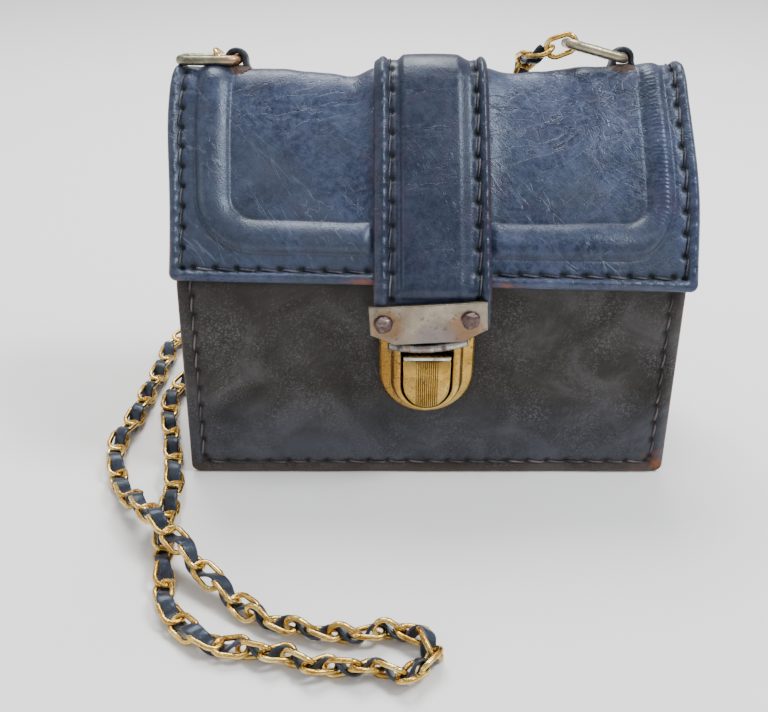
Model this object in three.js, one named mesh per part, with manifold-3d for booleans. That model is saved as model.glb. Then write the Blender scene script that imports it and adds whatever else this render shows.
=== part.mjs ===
// A small leather shoulder bag: a stiff box body, a front flap with a moulded ridge, a padded
// centre strap that ends in a metal hasp, a lock with a thumb lever, and two wire rings that
// carry a long chain strap.
//
// Millimetres. +X is the bag's right as seen from the front, +Y its back, +Z up. The origin is
// the middle of the bag's foot, on the surface that it stands on.

import * as THREE from "three";
import { mergeVertices } from "three/addons/utils/BufferGeometryUtils.js";
import Module from "manifold-3d";

const wasm = await Module();
wasm.setup();

// The body.
const bodyWidth = 171.4;
const bodyDepth = 64;
const bagHeight = 134;
const bodyTaper = 2.3;
const bodyCorner = 3.5;
const panelThickness = 2.2;
const panelHeight = 98;
const gussetThickness = 1.8;
const gussetInset = 1.2;
const gussetHeight = 124;
const seamWidth = 7;
const bendSoftness = 2;
const tightestBend = 0.4;
const clearance = 0.3;

// The flap, which is one piece of leather with the top and the back.
const flapInset = 0.7;
const flapWidth = bodyWidth - 2 * flapInset;
const flapThickness = 3;
const flapGap = 0.9;
const flapCorner = 2.5;
const flapSkew = 3.9;
const ridgeWidth = 10.5;
const ridgeHeight = 1.8;
const ridgeFromSide = 9;
const ridgeFromEdge = 10;
const ridgeCorner = 13.5;

// The centre strap.
const strapWidth = 38;
const strapThickness = 2;
const padWidth = 22.5;
const padHeight = 1.8;
const padEndLength = 6;
const tongueLength = 14;
const strapBehindCrown = 60;

// The hasp: a bare plate at the strap's end, its two rivets, and the bowed bar of the lock.
const haspWidth = 38;
const haspHeight = 14;
const haspSideHeight = 10.2;
const haspFootWidth = 22.8;
const haspThickness = 1.8;
const haspTilt = 3.2;
const haspBevel = 0.4;
const haspBelowEdge = 11.2;
const rivetRadius = 3;
const rivetHeight = 2.3;
const rivetSpacing = 28;
const rivetShift = -0.6;
const rivetBelowHaspTop = 5.9;
const barLength = 26;
const barRadius = 0.95;
const barSag = 2.4;
const barBelowLockHead = 2.9;

// The lock.
const lockWidth = 32.2;
const lockHeight = 34;
const lockAcross = -1.2;
const lockBelowEdge = 15.6;
const lockProud = 5;
const leverWidth = 15.8;
const leverHeight = 20;
const leverBelowLockTop = 9.3;
const leverThickness = 4.3;
const leverProud = 1.6;
const leverFacet = 1.2;
const leverLip = 1.6;
const leverGap = 0.8;
const leverHeadroom = 1.5;
const ribCount = 7;
const ribPitch = 1;
const ribDepth = 0.35;
const pinRadius = 1;
const pinAboveLeverFoot = 5.7;
const pinReach = 1;

// The wire rings and the leather loops that hold them.
const ringLength = 22.4;
const ringWidth = 15;
const ringWire = 3.2;
const ringCorner = 3.2;
const ringRise = 2.5;
const loopAcross = 65;
const loopFromBack = 13;
const loopWidth = 6;
const loopThickness = 1.4;
const loopFoot = 4;

// The chain: real links at both ends, and the rest as one round run of the links' width.
const linkLength = 12;
const linkWidth = 8;
const linkWire = 1.75;
const linkPitch = 7.9;
const wireSides = 8;
const linkSides = 6;
const chainSides = 8;
const chainSteps = 76;

// The side view of the flap, top and back, from the flap's lower edge over to the back's foot.
// Depth is a share of the body's depth and height a share of the bag's height.
const profileRows = [
  { at: "lower edge of the flap", depth: -0.5625, height: 0.579 },
  { at: "low on the slope", depth: -0.434, height: 0.663 },
  { at: "middle of the slope", depth: -0.302, height: 0.7485 },
  { at: "high on the slope", depth: -0.13, height: 0.846 },
  { at: "shoulder", depth: 0.055, height: 0.94 },
  { at: "front of the top", depth: 0.141, height: 0.98 },
  { at: "crown", depth: 0.219, height: 0.9985 },
  { at: "behind the crown", depth: 0.289, height: 0.9955 },
  { at: "back of the top", depth: 0.352, height: 0.985 },
  { at: "rear roll", depth: 0.42, height: 0.965 },
  { at: "below the roll", depth: 0.472, height: 0.93 },
  { at: "head of the back", depth: 0.497, height: 0.88 },
  { at: "high on the back", depth: 0.5, height: 0.78 },
  { at: "low on the back", depth: 0.5, height: 0.4 },
  { at: "foot of the back", depth: 0.5, height: 0 },
];

// How the top line sags in the middle and rises to the right. Across is a share of half the
// flap's width, rise a share of the bag's height.
const topLineRows = [
  { across: -1, rise: 0.0045 },
  { across: -0.65, rise: 0.001 },
  { across: -0.42, rise: -0.012 },
  { across: -0.3, rise: -0.019 },
  { across: -0.22, rise: 0.001 },
  { across: 0, rise: 0.0045 },
  { across: 0.22, rise: 0.001 },
  { across: 0.3, rise: -0.01 },
  { across: 0.42, rise: -0.009 },
  { across: 0.6, rise: 0.003 },
  { across: 0.85, rise: 0.007 },
  { across: 1, rise: 0.0135 },
];

// The upper face of the strap, from its middle to its edge. Across is a share of half the width
// that the row is of, skin a share of the strap's thickness, pad one of the padding's height.
const strapRows = [
  { of: padWidth, across: 0, skin: 1, pad: 1 },
  { of: padWidth, across: 0.51, skin: 1, pad: 0.97 },
  { of: padWidth, across: 0.85, skin: 1, pad: 0.86 },
  { of: padWidth, across: 0.97, skin: 1, pad: 0.6 },
  { of: padWidth, across: 1.03, skin: 0.9, pad: 0.12 },
  { of: strapWidth, across: 0.68, skin: 0.75, pad: 0 },
  { of: strapWidth, across: 0.76, skin: 0.6, pad: 0 },
  { of: strapWidth, across: 0.84, skin: 0.85, pad: 0 },
  { of: strapWidth, across: 0.93, skin: 1, pad: 0 },
  { of: strapWidth, across: 1, skin: 0.55, pad: 0 },
];

// The strap's tongue, from its foot up to the flap's edge. Down is a share of its length, pad a
// share of the padding's height.
const tongueRows = [
  { down: 1, pad: 0 },
  { down: 0.5, pad: 0 },
  { down: 0.22, pad: 0 },
  { down: 0.09, pad: 0.75 },
];

// The steps of the lock's front, from its foot on the leather inwards to the lever's window.
// Half is a share of half the lock's width, foot and head shares of its height, proud a share of
// how far it stands out.
const lockRows = [
  { at: "foot", half: 1, foot: 0, head: 1, proud: 0 },
  { at: "rim", half: 1, foot: 0, head: 1, proud: 0.24 },
  { at: "brow", half: 0.93, foot: 0.035, head: 0.98, proud: 0.52 },
  { at: "border", half: 0.71, foot: 0.08, head: 0.95, proud: 0.72 },
  { at: "step", half: 0.68, foot: 0.09, head: 0.94, proud: 0.95 },
  { at: "collar", half: 0.64, foot: 0.1, head: 0.93, proud: 1 },
];

// Where the chain lies, from under the left ring's links to under the right ring's: down the
// back, out to the left, forward over itself, round, back along the bag's side and behind it. A
// row is how far right of the bag's middle, how far behind its back, and how far up.
const chainRoute = [
  [-72.4, 6.1, 124.7],
  [-72.4, 6.1, 115],
  [-72.4, 5, 104],
  [-72.8, 4.8, 80],
  [-73.4, 5, 56],
  [-74.6, 7, 34],
  [-76.6, 12.5, 17.5],
  [-82.5, 23, 7],
  [-93, 32.5, 4.1],
  [-103.5, 35, 4.1],
  [-109, 25, 4.1],
  [-109.6, 8, 4.1],
  [-111.3, -14, 4.1],
  [-113, -35, 4.1],
  [-115.2, -50, 4.1],
  [-112.3, -65, 4.1],
  [-106.2, -79.6, 5],
  [-98, -92, 9],
  [-89.5, -104, 12.6],
  [-80, -114.6, 11],
  [-70.8, -123.6, 7.5],
  [-62, -131.2, 4.7],
  [-51, -139.6, 4.1],
  [-38, -143.6, 4.1],
  [-27, -146, 4.1],
  [-14, -144.4, 4.1],
  [-4.2, -147, 4.1],
  [-2.4, -154, 4.1],
  [-8, -160.2, 4.1],
  [-19, -158, 4.1],
  [-33, -157.6, 4.1],
  [-46, -153, 4.1],
  [-59, -150.6, 4.1],
  [-70.5, -146, 4.1],
  [-80.4, -134.5, 4.1],
  [-84.6, -118, 4.1],
  [-87.8, -102, 4.1],
  [-88.8, -88, 4.1],
  [-89.6, -75, 4.1],
  [-92.2, -62, 4.1],
  [-95.4, -48, 4.1],
  [-99, -34, 4.1],
  [-101, -20, 4.1],
  [-99, -7, 4.1],
  [-91.5, 2.5, 4.1],
  [-79, 5.6, 4.1],
  [-60, 6.2, 4.1],
  [-35, 6.6, 4.1],
  [-8, 7.4, 4.1],
  [14, 8.2, 4.6],
  [26, 7.4, 9],
  [31.4, 6, 20],
  [32.6, 5, 40],
  [33, 4.8, 70],
  [33.2, 4.8, 98],
  [33.4, 5.2, 115],
  [33.5, 4, 125.5],
  [33.6, 0.4, 131.8],
  [33.8, -4.3, 135],
];

// The lines that the end links hang along, as steps away from the wire that carries them.
const leftLinkLine = [
  [0, 0, 0],
  [0.3, 4.4, -2.6],
  [0.2, 9.6, -6.6],
  [0.1, 12.6, -13.7],
  [0.1, 12.6, -23.2],
];
const rightLinkLine = [
  [0, 0, 0],
  [-6.8, 2, -3],
  [-11, 6.8, -5.8],
  [-12.8, 12.8, -10.4],
  [-13, 16.6, -16.8],
  [-13, 17.3, -28.4],
];

const finishes = {
  flapLeather: { color: 0x454c62, roughness: 0.42, metalness: 0 },
  bodyLeather: { color: 0x3a3836, roughness: 0.85, metalness: 0 },
  loopLeather: { color: 0x24242a, roughness: 0.6, metalness: 0 },
  nickel: { color: 0xa09682, roughness: 0.35, metalness: 1 },
  steel: { color: 0xb9b9b4, roughness: 0.3, metalness: 1 },
  oxide: { color: 0x5f5156, roughness: 0.6, metalness: 0.7 },
  brass: { color: 0xb58f45, roughness: 0.35, metalness: 1 },
  gilt: { color: 0xd0a24c, roughness: 0.25, metalness: 1 },
};

function point(x, y, z) {
  return new THREE.Vector3(x, y, z);
}

function smoothStep(low, high, value) {
  const share = THREE.MathUtils.clamp((value - low) / (high - low), 0, 1);
  return share * share * (3 - 2 * share);
}

function spread(from, to, count) {
  return Array.from({ length: count }, (_, i) => from + ((to - from) * i) / (count - 1));
}

function mirrored(halfValues) {
  const others = halfValues.filter((value) => value !== 0).map((value) => -value);
  return [...others, ...halfValues].sort((a, b) => a - b);
}

// A closed body from points and triangles, turned so that its faces point outwards.
function bodyGeometry(points, triangles) {
  let volume = 0;
  for (const [a, b, c] of triangles) {
    volume += points[a].dot(points[b].clone().cross(points[c]));
  }
  const turned = volume < 0 ? triangles.map(([a, b, c]) => [a, c, b]) : triangles;
  const geometry = new THREE.BufferGeometry();
  geometry.setAttribute(
    "position",
    new THREE.Float32BufferAttribute(points.flatMap((p) => [p.x, p.y, p.z]), 3),
  );
  geometry.setIndex(turned.flat());
  geometry.computeVertexNormals();
  return geometry;
}

// The triangles that close an outline, wound the way the outline runs. The outline is given flat.
function capTriangles(flatOutline) {
  const outlineSign = Math.sign(THREE.ShapeUtils.area(flatOutline));
  return THREE.ShapeUtils.triangulateShape(flatOutline, []).map((corners) => {
    const sign = Math.sign(THREE.ShapeUtils.area(corners.map((i) => flatOutline[i])));
    return sign === outlineSign ? corners : [...corners].reverse();
  });
}

// Joins rings of points, all of one length, into one closed body. An open run is capped at both
// ends, with flatten giving the cap's two coordinates; a loop is joined to its own start.
function carriedRings(rings, flatten = null) {
  const count = rings[0].length;
  const triangles = [];
  const spans = flatten ? rings.length - 1 : rings.length;
  for (let i = 0; i < spans; i += 1) {
    const here = i * count;
    const next = ((i + 1) % rings.length) * count;
    for (let j = 0; j < count; j += 1) {
      const k = (j + 1) % count;
      triangles.push([here + j, next + j, next + k], [here + j, next + k, here + k]);
    }
  }
  if (flatten) {
    const last = (rings.length - 1) * count;
    triangles.push(...capTriangles(rings[0].map(flatten)));
    for (const [a, b, c] of capTriangles(rings[rings.length - 1].map(flatten))) {
      triangles.push([last + a, last + c, last + b]);
    }
  }
  return bodyGeometry(rings.flat(), triangles);
}

function solidOf(geometry) {
  const bare = geometry.clone();
  bare.deleteAttribute("normal");
  bare.deleteAttribute("uv");
  const merged = mergeVertices(bare, 1e-4);
  return new wasm.Manifold(
    new wasm.Mesh({
      numProp: 3,
      vertProperties: new Float32Array(merged.attributes.position.array),
      triVerts: new Uint32Array(merged.index.array),
    }),
  );
}

function geometryOf(solid) {
  const mesh = solid.getMesh();
  const geometry = new THREE.BufferGeometry();
  geometry.setAttribute("position", new THREE.BufferAttribute(mesh.vertProperties, 3));
  geometry.setIndex(new THREE.BufferAttribute(mesh.triVerts, 1));
  geometry.computeVertexNormals();
  return geometry;
}

function namedMesh(name, geometry, finish) {
  const mesh = new THREE.Mesh(geometry, new THREE.MeshStandardMaterial(finishes[finish]));
  mesh.name = name;
  return mesh;
}

// The flap's side view as a curve, and what is measured along it.
const profileCurve = new THREE.CatmullRomCurve3(
  profileRows.map((row) => point(0, row.depth * bodyDepth, row.height * bagHeight)),
  false,
  "centripetal",
);
const divisionsPerRow = 40;
profileCurve.arcLengthDivisions = divisionsPerRow * (profileRows.length - 1);
const profileLength = profileCurve.getLength();
const topLineCurve = new THREE.CatmullRomCurve3(
  topLineRows.map((row) => point(row.across, row.rise, 0)),
  false,
  "centripetal",
);
const topLinePoints = topLineCurve.getPoints(60);
const flapEdge = profileCurve.getPoint(0);
const frontFace = -bodyDepth / 2;

function between(points, along, value, wanted) {
  let i = 1;
  while (i < points.length - 1 && points[i][along] < value) i += 1;
  const share = (value - points[i - 1][along]) / (points[i][along] - points[i - 1][along]);
  return THREE.MathUtils.lerp(points[i - 1][wanted], points[i][wanted], share);
}

// The point at a distance along the side view, and the direction out of the leather there.
function profileAt(distance) {
  const share = THREE.MathUtils.clamp(distance / profileLength, 0, 1);
  const at = profileCurve.getPointAt(share);
  const tangent = profileCurve.getTangentAt(share);
  at.addScaledVector(tangent, distance - share * profileLength);
  return { at, outward: point(0, -tangent.z, tangent.y) };
}

// How far along the side view one of its rows lies.
function distanceTo(place) {
  const index = profileRows.findIndex((row) => row.at === place);
  return profileCurve.getLengths()[index * divisionsPerRow];
}

// How far along the side view the leather's top reaches a depth.
function distanceAt(depth) {
  const line = spread(bendStart, bendEnd, 100).map((distance) => {
    const { at } = profileAt(distance);
    return { depth: at.y, distance };
  });
  return between(line, "depth", depth, "distance");
}

// How far the top line lies above or below its nominal height.
function topLift(across, height) {
  const rise = between(topLinePoints, "x", THREE.MathUtils.clamp(across, -1, 1), "y");
  return rise * bagHeight * smoothStep(flapEdge.z, bagHeight, height);
}

// A point of the flap, top or back: across the bag, along the side view from the flap's lower
// edge, and out of the leather.
function leatherPoint(across, distance, outwards) {
  const share = across / (flapWidth / 2);
  const slope = profileLength / 4;
  const skew = (-share * flapSkew * Math.max(0, 1 - distance / slope)) / 2;
  const { at, outward } = profileAt(Math.min(distance + skew, profileLength));
  const widening = smoothStep(profileLength / 2, profileLength, distance);
  const width = THREE.MathUtils.lerp(flapWidth, bodyWidth, widening);
  const result = at.clone().addScaledVector(outward, outwards);
  result.x = (share * width) / 2;
  result.z += topLift(share, at.z);
  return result;
}

// The moulded ridge: a U whose height falls off as a cosine from its middle line, and which
// fades where the flap rolls over the top and where the strap presses it flat.
const ridgeAcross = flapWidth / 2 - ridgeFromSide - ridgeWidth / 2;
const ridgeUp = ridgeFromEdge + ridgeWidth / 2;
const bendStart = distanceTo("shoulder");
const crownDistance = distanceTo("crown");
const bendEnd = distanceTo("head of the back");

function ridgeRise(across, distance) {
  const side = Math.abs(across);
  const cornerAcross = side - (ridgeAcross - ridgeCorner);
  const cornerDown = ridgeUp + ridgeCorner - distance;
  let away = Math.abs(distance - ridgeUp);
  if (cornerDown <= 0) away = Math.abs(side - ridgeAcross);
  else if (cornerAcross > 0) away = Math.abs(Math.hypot(cornerAcross, cornerDown) - ridgeCorner);
  if (away >= ridgeWidth / 2) return 0;
  const shape = Math.cos((Math.PI * away) / ridgeWidth) ** 2;
  const overTop = 1 - smoothStep(bendStart, distanceTo("back of the top"), distance);
  const besideStrap = smoothStep(strapWidth * 0.51, strapWidth * 0.61, side);
  return ridgeHeight * shape * overTop * besideStrap;
}

// Where the leather is divided along its side view: closely over the ridge and over the top.
const ridgeSteps = spread(-ridgeWidth / 2, ridgeWidth / 2, 7);
const leatherRows = [
  0,
  ridgeFromEdge * 0.4,
  ...ridgeSteps.map((step) => ridgeUp + step),
  ...spread(ridgeUp + ridgeWidth / 2, ridgeUp + ridgeCorner, 4).slice(1),
  ...spread(ridgeUp + ridgeCorner, bendStart, 4).slice(1),
  ...spread(bendStart, bendEnd, 10).slice(1),
  ...spread(bendEnd, profileLength, 4).slice(1),
];

function backAndFlap() {
  const half = flapWidth / 2;
  const columns = mirrored([
    0,
    strapWidth / 2,
    ...spread(strapWidth * 0.62, ridgeAcross - ridgeCorner, 4),
    ...spread(ridgeAcross - ridgeCorner, ridgeAcross - ridgeWidth / 2, 4).slice(1, -1),
    ...ridgeSteps.map((step) => ridgeAcross + step),
    half - flapCorner,
    half - flapCorner * 0.3,
    half,
  ]);
  const innerRows = [
    ...spread(0, bendStart, 4),
    ...spread(bendStart, bendEnd, 7).slice(1),
    profileLength,
  ];
  const lowerEdge = (across) => {
    const past = Math.max(0, Math.abs(across) - (half - flapCorner));
    return flapCorner - Math.sqrt(flapCorner ** 2 - past ** 2);
  };
  const rings = columns.map((across) => {
    const lift = (distance) => lowerEdge(across) * Math.max(0, 1 - distance / ridgeFromEdge);
    const outer = leatherRows.map((distance) =>
      leatherPoint(across, distance + lift(distance), ridgeRise(across, distance)),
    );
    const inner = innerRows.map((distance) =>
      leatherPoint(across, distance + lift(distance), -flapThickness),
    );
    return [...outer, ...inner.reverse()];
  });
  const sheet = solidOf(carriedRings(rings, (p) => new THREE.Vector2(p.y, p.z)));
  const slits = [-1, 1].map((side) => {
    const length = 2 * loopRadius + loopThickness + 2 * clearance;
    const slit = new THREE.BoxGeometry(length, loopWidth + 2 * clearance, 3 * flapThickness);
    slit.applyMatrix4(loopPlace(side));
    return solidOf(slit);
  });
  return geometryOf(slits.reduce((left, slit) => left.subtract(slit), sheet));
}

// Where the inside of the side view stands at a height: in front, where the slope runs softly
// into the upright wall below it, and behind.
const slopeShares = spread(0, 0.36, 50);
const backShares = spread(1, 0.44, 60);

function insideY(shares, height, inwards) {
  const line = shares.map((share) => {
    const { at, outward } = profileAt(share * profileLength);
    return at.addScaledVector(outward, -inwards);
  });
  return between(line, "z", height, "y");
}

function wallY(height, inwards) {
  const upright = frontFace + inwards;
  const sloping = insideY(slopeShares, height, flapThickness + flapGap + inwards);
  return (upright + sloping + Math.hypot(upright - sloping, bendSoftness)) / 2;
}

function bodyHalfWidth(height) {
  return bodyWidth / 2 - bodyTaper * Math.min(1, height / flapEdge.z);
}

function frontPanel() {
  const half = bodyWidth / 2;
  const cornerColumns = [1, 0.5, 0.13, 0].map((share) => half - bodyCorner * share);
  const columns = mirrored([0, ...cornerColumns]);
  const bendRows = spread(flapEdge.z * 0.88, panelHeight, 9);
  const rows = [0, bodyCorner, flapEdge.z * 0.5, ...bendRows];
  const rings = columns.map((across) => {
    const past = Math.max(0, Math.abs(across) - (half - bodyCorner));
    const lowest = bodyCorner - Math.sqrt(Math.max(0, bodyCorner ** 2 - past ** 2));
    const place = (height, inwards) => {
      const up = height + lowest * Math.max(0, 1 - height / (2 * bodyCorner));
      return point((across / half) * bodyHalfWidth(up), wallY(up, inwards), up);
    };
    const outer = rows.map((height) => place(height, 0));
    const inner = rows.map((height) => place(height, panelThickness));
    return [...outer, ...inner.reverse()];
  });
  return carriedRings(rings, (p) => new THREE.Vector2(p.y, p.z));
}

// The gusset: one strip bent up both sides, its edges turned in behind the panels. Its section is
// carried down one side, under the bag and up the other.
function gusset() {
  const section = (height) => {
    const front = wallY(height, panelThickness + clearance);
    const back = insideY(backShares, height, flapThickness + 2 * clearance);
    const wall = gussetThickness;
    return [
      [0, front],
      [0, back],
      [seamWidth, back],
      [seamWidth, back - wall],
      [wall, back - wall],
      [wall, front + wall],
      [seamWidth, front + wall],
      [seamWidth, front],
    ];
  };
  const side = (height) =>
    section(height).map(([inset, y]) =>
      point(bodyHalfWidth(height) - gussetInset - inset, y, height),
    );
  const corner = (angle) =>
    section(0).map(([inset, y]) => {
      const centre = Math.max(bodyCorner, inset + tightestBend);
      const radius = centre - inset;
      const x = bodyWidth / 2 - gussetInset - centre + radius * Math.cos(angle);
      return point(x, y, centre - radius * Math.sin(angle));
    });
  const heights = [
    ...spread(gussetHeight, flapEdge.z * 0.85, 12),
    flapEdge.z * 0.5,
    seamWidth + bodyCorner,
  ];
  const rightHalf = [...heights.map(side), ...spread(0, Math.PI / 2, 5).map(corner)];
  const leftHalf = rightHalf.map((ring) => ring.map((p) => point(-p.x, p.y, p.z))).reverse();
  const flatten = (p) => new THREE.Vector2(Math.abs(p.x), p.y);
  return carriedRings([...rightHalf, ...leftHalf], flatten);
}

// The strap's run: up from behind the hasp, over the flap's edge, and along the leather. Each
// station is a place on the strap's under face, the direction out of it, and the padding there.
const tongueY = frontFace - lockProud - 2 * clearance;
const strapEnd = crownDistance + strapBehindCrown;

function strapStations() {
  const upright = point(0, -1, 0);
  const tongue = tongueRows.map(({ down, pad }) => {
    const at = point(0, tongueY, flapEdge.z - down * tongueLength);
    return { at, outward: upright, pad };
  });
  const rows = leatherRows.filter((distance) => distance > padEndLength / 2 && distance < strapEnd);
  const onLeather = [...rows, strapEnd].map((distance) => {
    const { at, outward } = profileAt(distance);
    const fromEnd = strapEnd - distance;
    const pad = smoothStep(padEndLength, 2 * padEndLength, fromEnd);
    return { at: at.addScaledVector(outward, clearance), outward, pad };
  });
  return [...tongue, ...onLeather];
}

function centreStrap() {
  const half = strapWidth / 2;
  const rightRows = strapRows.map((row) => ({ ...row, x: (row.across * row.of) / 2 }));
  const leftRows = rightRows.slice(1).map((row) => ({ ...row, x: -row.x }));
  const upper = [...leftRows.reverse(), ...rightRows];
  const rings = strapStations().map(({ at, outward, pad }) => {
    const place = (across, rise) => {
      const result = at.clone().addScaledVector(outward, rise);
      result.x = across;
      result.z += topLift(across / (flapWidth / 2), at.z);
      return result;
    };
    const top = upper.map((row) =>
      place(row.x, row.skin * strapThickness + row.pad * padHeight * pad),
    );
    const under = [half, 0, -half].map((across) => place(across, 0));
    return [...top, ...under];
  });
  return carriedRings(rings, (p) => new THREE.Vector2(p.x, Math.abs(p.y)));
}

// The hasp plate: a flat plate with tapered lower corners and a bevelled edge, worn a little
// crooked on the strap.
const haspBack = tongueY - strapThickness - clearance;
const haspMiddle = flapEdge.z - haspBelowEdge;

function haspOutline() {
  const half = haspWidth / 2 - haspBevel;
  const top = haspHeight / 2 - haspBevel;
  const sideFoot = top - haspSideHeight + 2 * haspBevel;
  const shape = new THREE.Shape();
  shape.moveTo(-half, top);
  shape.lineTo(-half, sideFoot);
  shape.lineTo(-haspFootWidth / 2, -top);
  shape.lineTo(haspFootWidth / 2, -top);
  shape.lineTo(half, sideFoot);
  shape.lineTo(half, top);
  shape.closePath();
  return shape;
}

function haspGroup() {
  const plate = new THREE.ExtrudeGeometry(haspOutline(), {
    depth: haspThickness - 2 * haspBevel,
    bevelEnabled: true,
    bevelThickness: haspBevel,
    bevelSize: haspBevel,
    bevelSegments: 1,
  });
  plate.translate(0, 0, haspBevel);
  const dome = spread(0, Math.PI / 2, 5).map(
    (angle) => new THREE.Vector2(rivetRadius * Math.cos(angle), rivetHeight * Math.sin(angle)),
  );
  dome[dome.length - 1].x = 0;
  const rivetProfile = [new THREE.Vector2(0, 0), ...dome];
  const group = new THREE.Group();
  group.rotation.set(Math.PI / 2, 0, 0);
  group.position.set(lockAcross, haspBack, haspMiddle);
  const crooked = new THREE.Group();
  crooked.rotation.z = THREE.MathUtils.degToRad(haspTilt);
  crooked.add(namedMesh("hasp_plate", plate, "nickel"));
  for (const [name, side] of [["hasp_rivet_left", -1], ["hasp_rivet_right", 1]]) {
    const rivet = namedMesh(name, new THREE.LatheGeometry(rivetProfile, 16), "oxide");
    const across = rivetShift + (side * rivetSpacing) / 2;
    rivet.rotation.x = Math.PI / 2;
    rivet.position.set(across, haspHeight / 2 - rivetBelowHaspTop, haspThickness + clearance);
    crooked.add(rivet);
  }
  group.add(crooked);
  return group;
}

// The lock stands on the front panel, its head a named distance below the flap's edge.
const lockHead = flapEdge.z - lockBelowEdge;
const lockFoot = lockHead - lockHeight;
const lockBack = frontFace - clearance;
const leverHead = lockHead - leverBelowLockTop;
const leverFoot = leverHead - leverHeight;
const pinHeight = leverFoot + pinAboveLeverFoot;
const leverFront = lockBack - lockProud - leverProud;
const leverBack = leverFront + leverThickness;
const pinY = leverBack - pinRadius + clearance;
const lockFacets = 12;

// The bar across the lock's head: a bowed rod, as crooked as the hasp above it.
function barGeometry() {
  const tilt = Math.tan(THREE.MathUtils.degToRad(haspTilt));
  const y = lockBack - lockProud - clearance - barRadius;
  const middle = lockHead - barBelowLockHead;
  const rings = spread(-1, 1, 13).map((share) => {
    const across = (share * barLength) / 2;
    const height = middle + tilt * across - barSag * (1 - share ** 2);
    return spread(0, 2 * Math.PI, wireSides + 1)
      .slice(1)
      .map((angle) => {
        const forward = barRadius * Math.cos(angle);
        const up = barRadius * Math.sin(angle);
        return point(lockAcross + across, y + forward, height + up);
      });
  });
  return carriedRings(rings, (p) => new THREE.Vector2(p.y, p.z));
}

// A D-shaped outline, round below and square above, as points of a ring.
function lockOutline(half, foot, head, y) {
  const arc = spread(0, Math.PI, lockFacets + 1).map((angle) =>
    point(lockAcross + half * Math.cos(angle), y, foot + half - half * Math.sin(angle)),
  );
  return [point(lockAcross + half, y, head), ...arc, point(lockAcross - half, y, head)];
}

function lockPlate() {
  const rings = lockRows.map((row) =>
    lockOutline(
      (row.half * lockWidth) / 2,
      lockFoot + row.foot * lockHeight,
      lockFoot + row.head * lockHeight,
      lockBack - row.proud * lockProud,
    ),
  );
  const windowHalf = leverWidth / 2 + leverGap;
  const windowHead = leverHead + leverHeadroom;
  for (const proud of [lockProud, 0]) {
    rings.push(lockOutline(windowHalf, leverFoot - leverGap, windowHead, lockBack - proud));
  }
  const socketLength = 2 * (windowHalf + pinReach + clearance);
  const socketRadius = pinRadius + clearance;
  const socket = new THREE.CylinderGeometry(socketRadius, socketRadius, socketLength, 12);
  socket.rotateZ(Math.PI / 2);
  socket.translate(lockAcross, pinY, pinHeight);
  return geometryOf(solidOf(carriedRings(rings)).subtract(solidOf(socket)));
}

// The thumb lever: a D-shaped block whose front has two sloping sides and a ribbed middle, with a
// lip across its head and a pin through its foot.
function lockLever() {
  const half = leverWidth / 2;
  const ribHalf = (ribCount * ribPitch) / 2;
  const front = new THREE.Shape();
  front.moveTo(half, leverBack);
  front.lineTo(half, leverFront + leverFacet);
  for (let i = 0; i < ribCount; i += 1) {
    const x = ribHalf - i * ribPitch;
    front.lineTo(x, leverFront + ribDepth);
    front.lineTo(x - ribPitch * 0.3, leverFront);
    front.lineTo(x - ribPitch * 0.7, leverFront);
  }
  front.lineTo(-ribHalf, leverFront + ribDepth);
  front.lineTo(-half, leverFront + leverFacet);
  front.lineTo(-half, leverBack);
  front.closePath();
  const bar = new THREE.ExtrudeGeometry(front, { depth: leverHeight, bevelEnabled: false });
  bar.translate(lockAcross, 0, leverFoot);
  const depths = [leverFront - clearance, leverBack + clearance];
  const outline = depths.map((y) => lockOutline(half, leverFoot, leverHead, y));
  const block = solidOf(carriedRings(outline, (p) => new THREE.Vector2(p.x, p.z)));
  const lipDepth = leverThickness / 2;
  const lip = new THREE.BoxGeometry(leverWidth, lipDepth, leverLip);
  lip.translate(lockAcross, leverFront - ribDepth + lipDepth / 2, leverHead - leverLip / 2);
  const pinLength = 2 * (half + leverGap + pinReach);
  const pin = new THREE.CylinderGeometry(pinRadius, pinRadius, pinLength, 12);
  pin.rotateZ(Math.PI / 2);
  pin.translate(lockAcross, pinY, pinHeight);
  const lever = solidOf(bar).intersect(block).add(solidOf(lip)).add(solidOf(pin));
  return geometryOf(lever);
}

// The leather loop of a ring: an omega of leather, its arch over the ring's end and its feet
// under the flap's top.
const loopRadius = ringWire / 2 + clearance + loopThickness / 2;
const footGap = 3 * clearance;
const loopDistance = distanceAt(bodyDepth / 2 - loopFromBack);

// The frame of a loop: on the leather's outer face, with its own Z out of the leather.
function loopPlace(side) {
  const at = leatherPoint(side * loopAcross, loopDistance, 0);
  const { outward } = profileAt(loopDistance);
  const lean = Math.atan2(outward.y, outward.z);
  const matrix = new THREE.Matrix4().makeRotationX(-lean);
  matrix.setPosition(at);
  return matrix;
}

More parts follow.
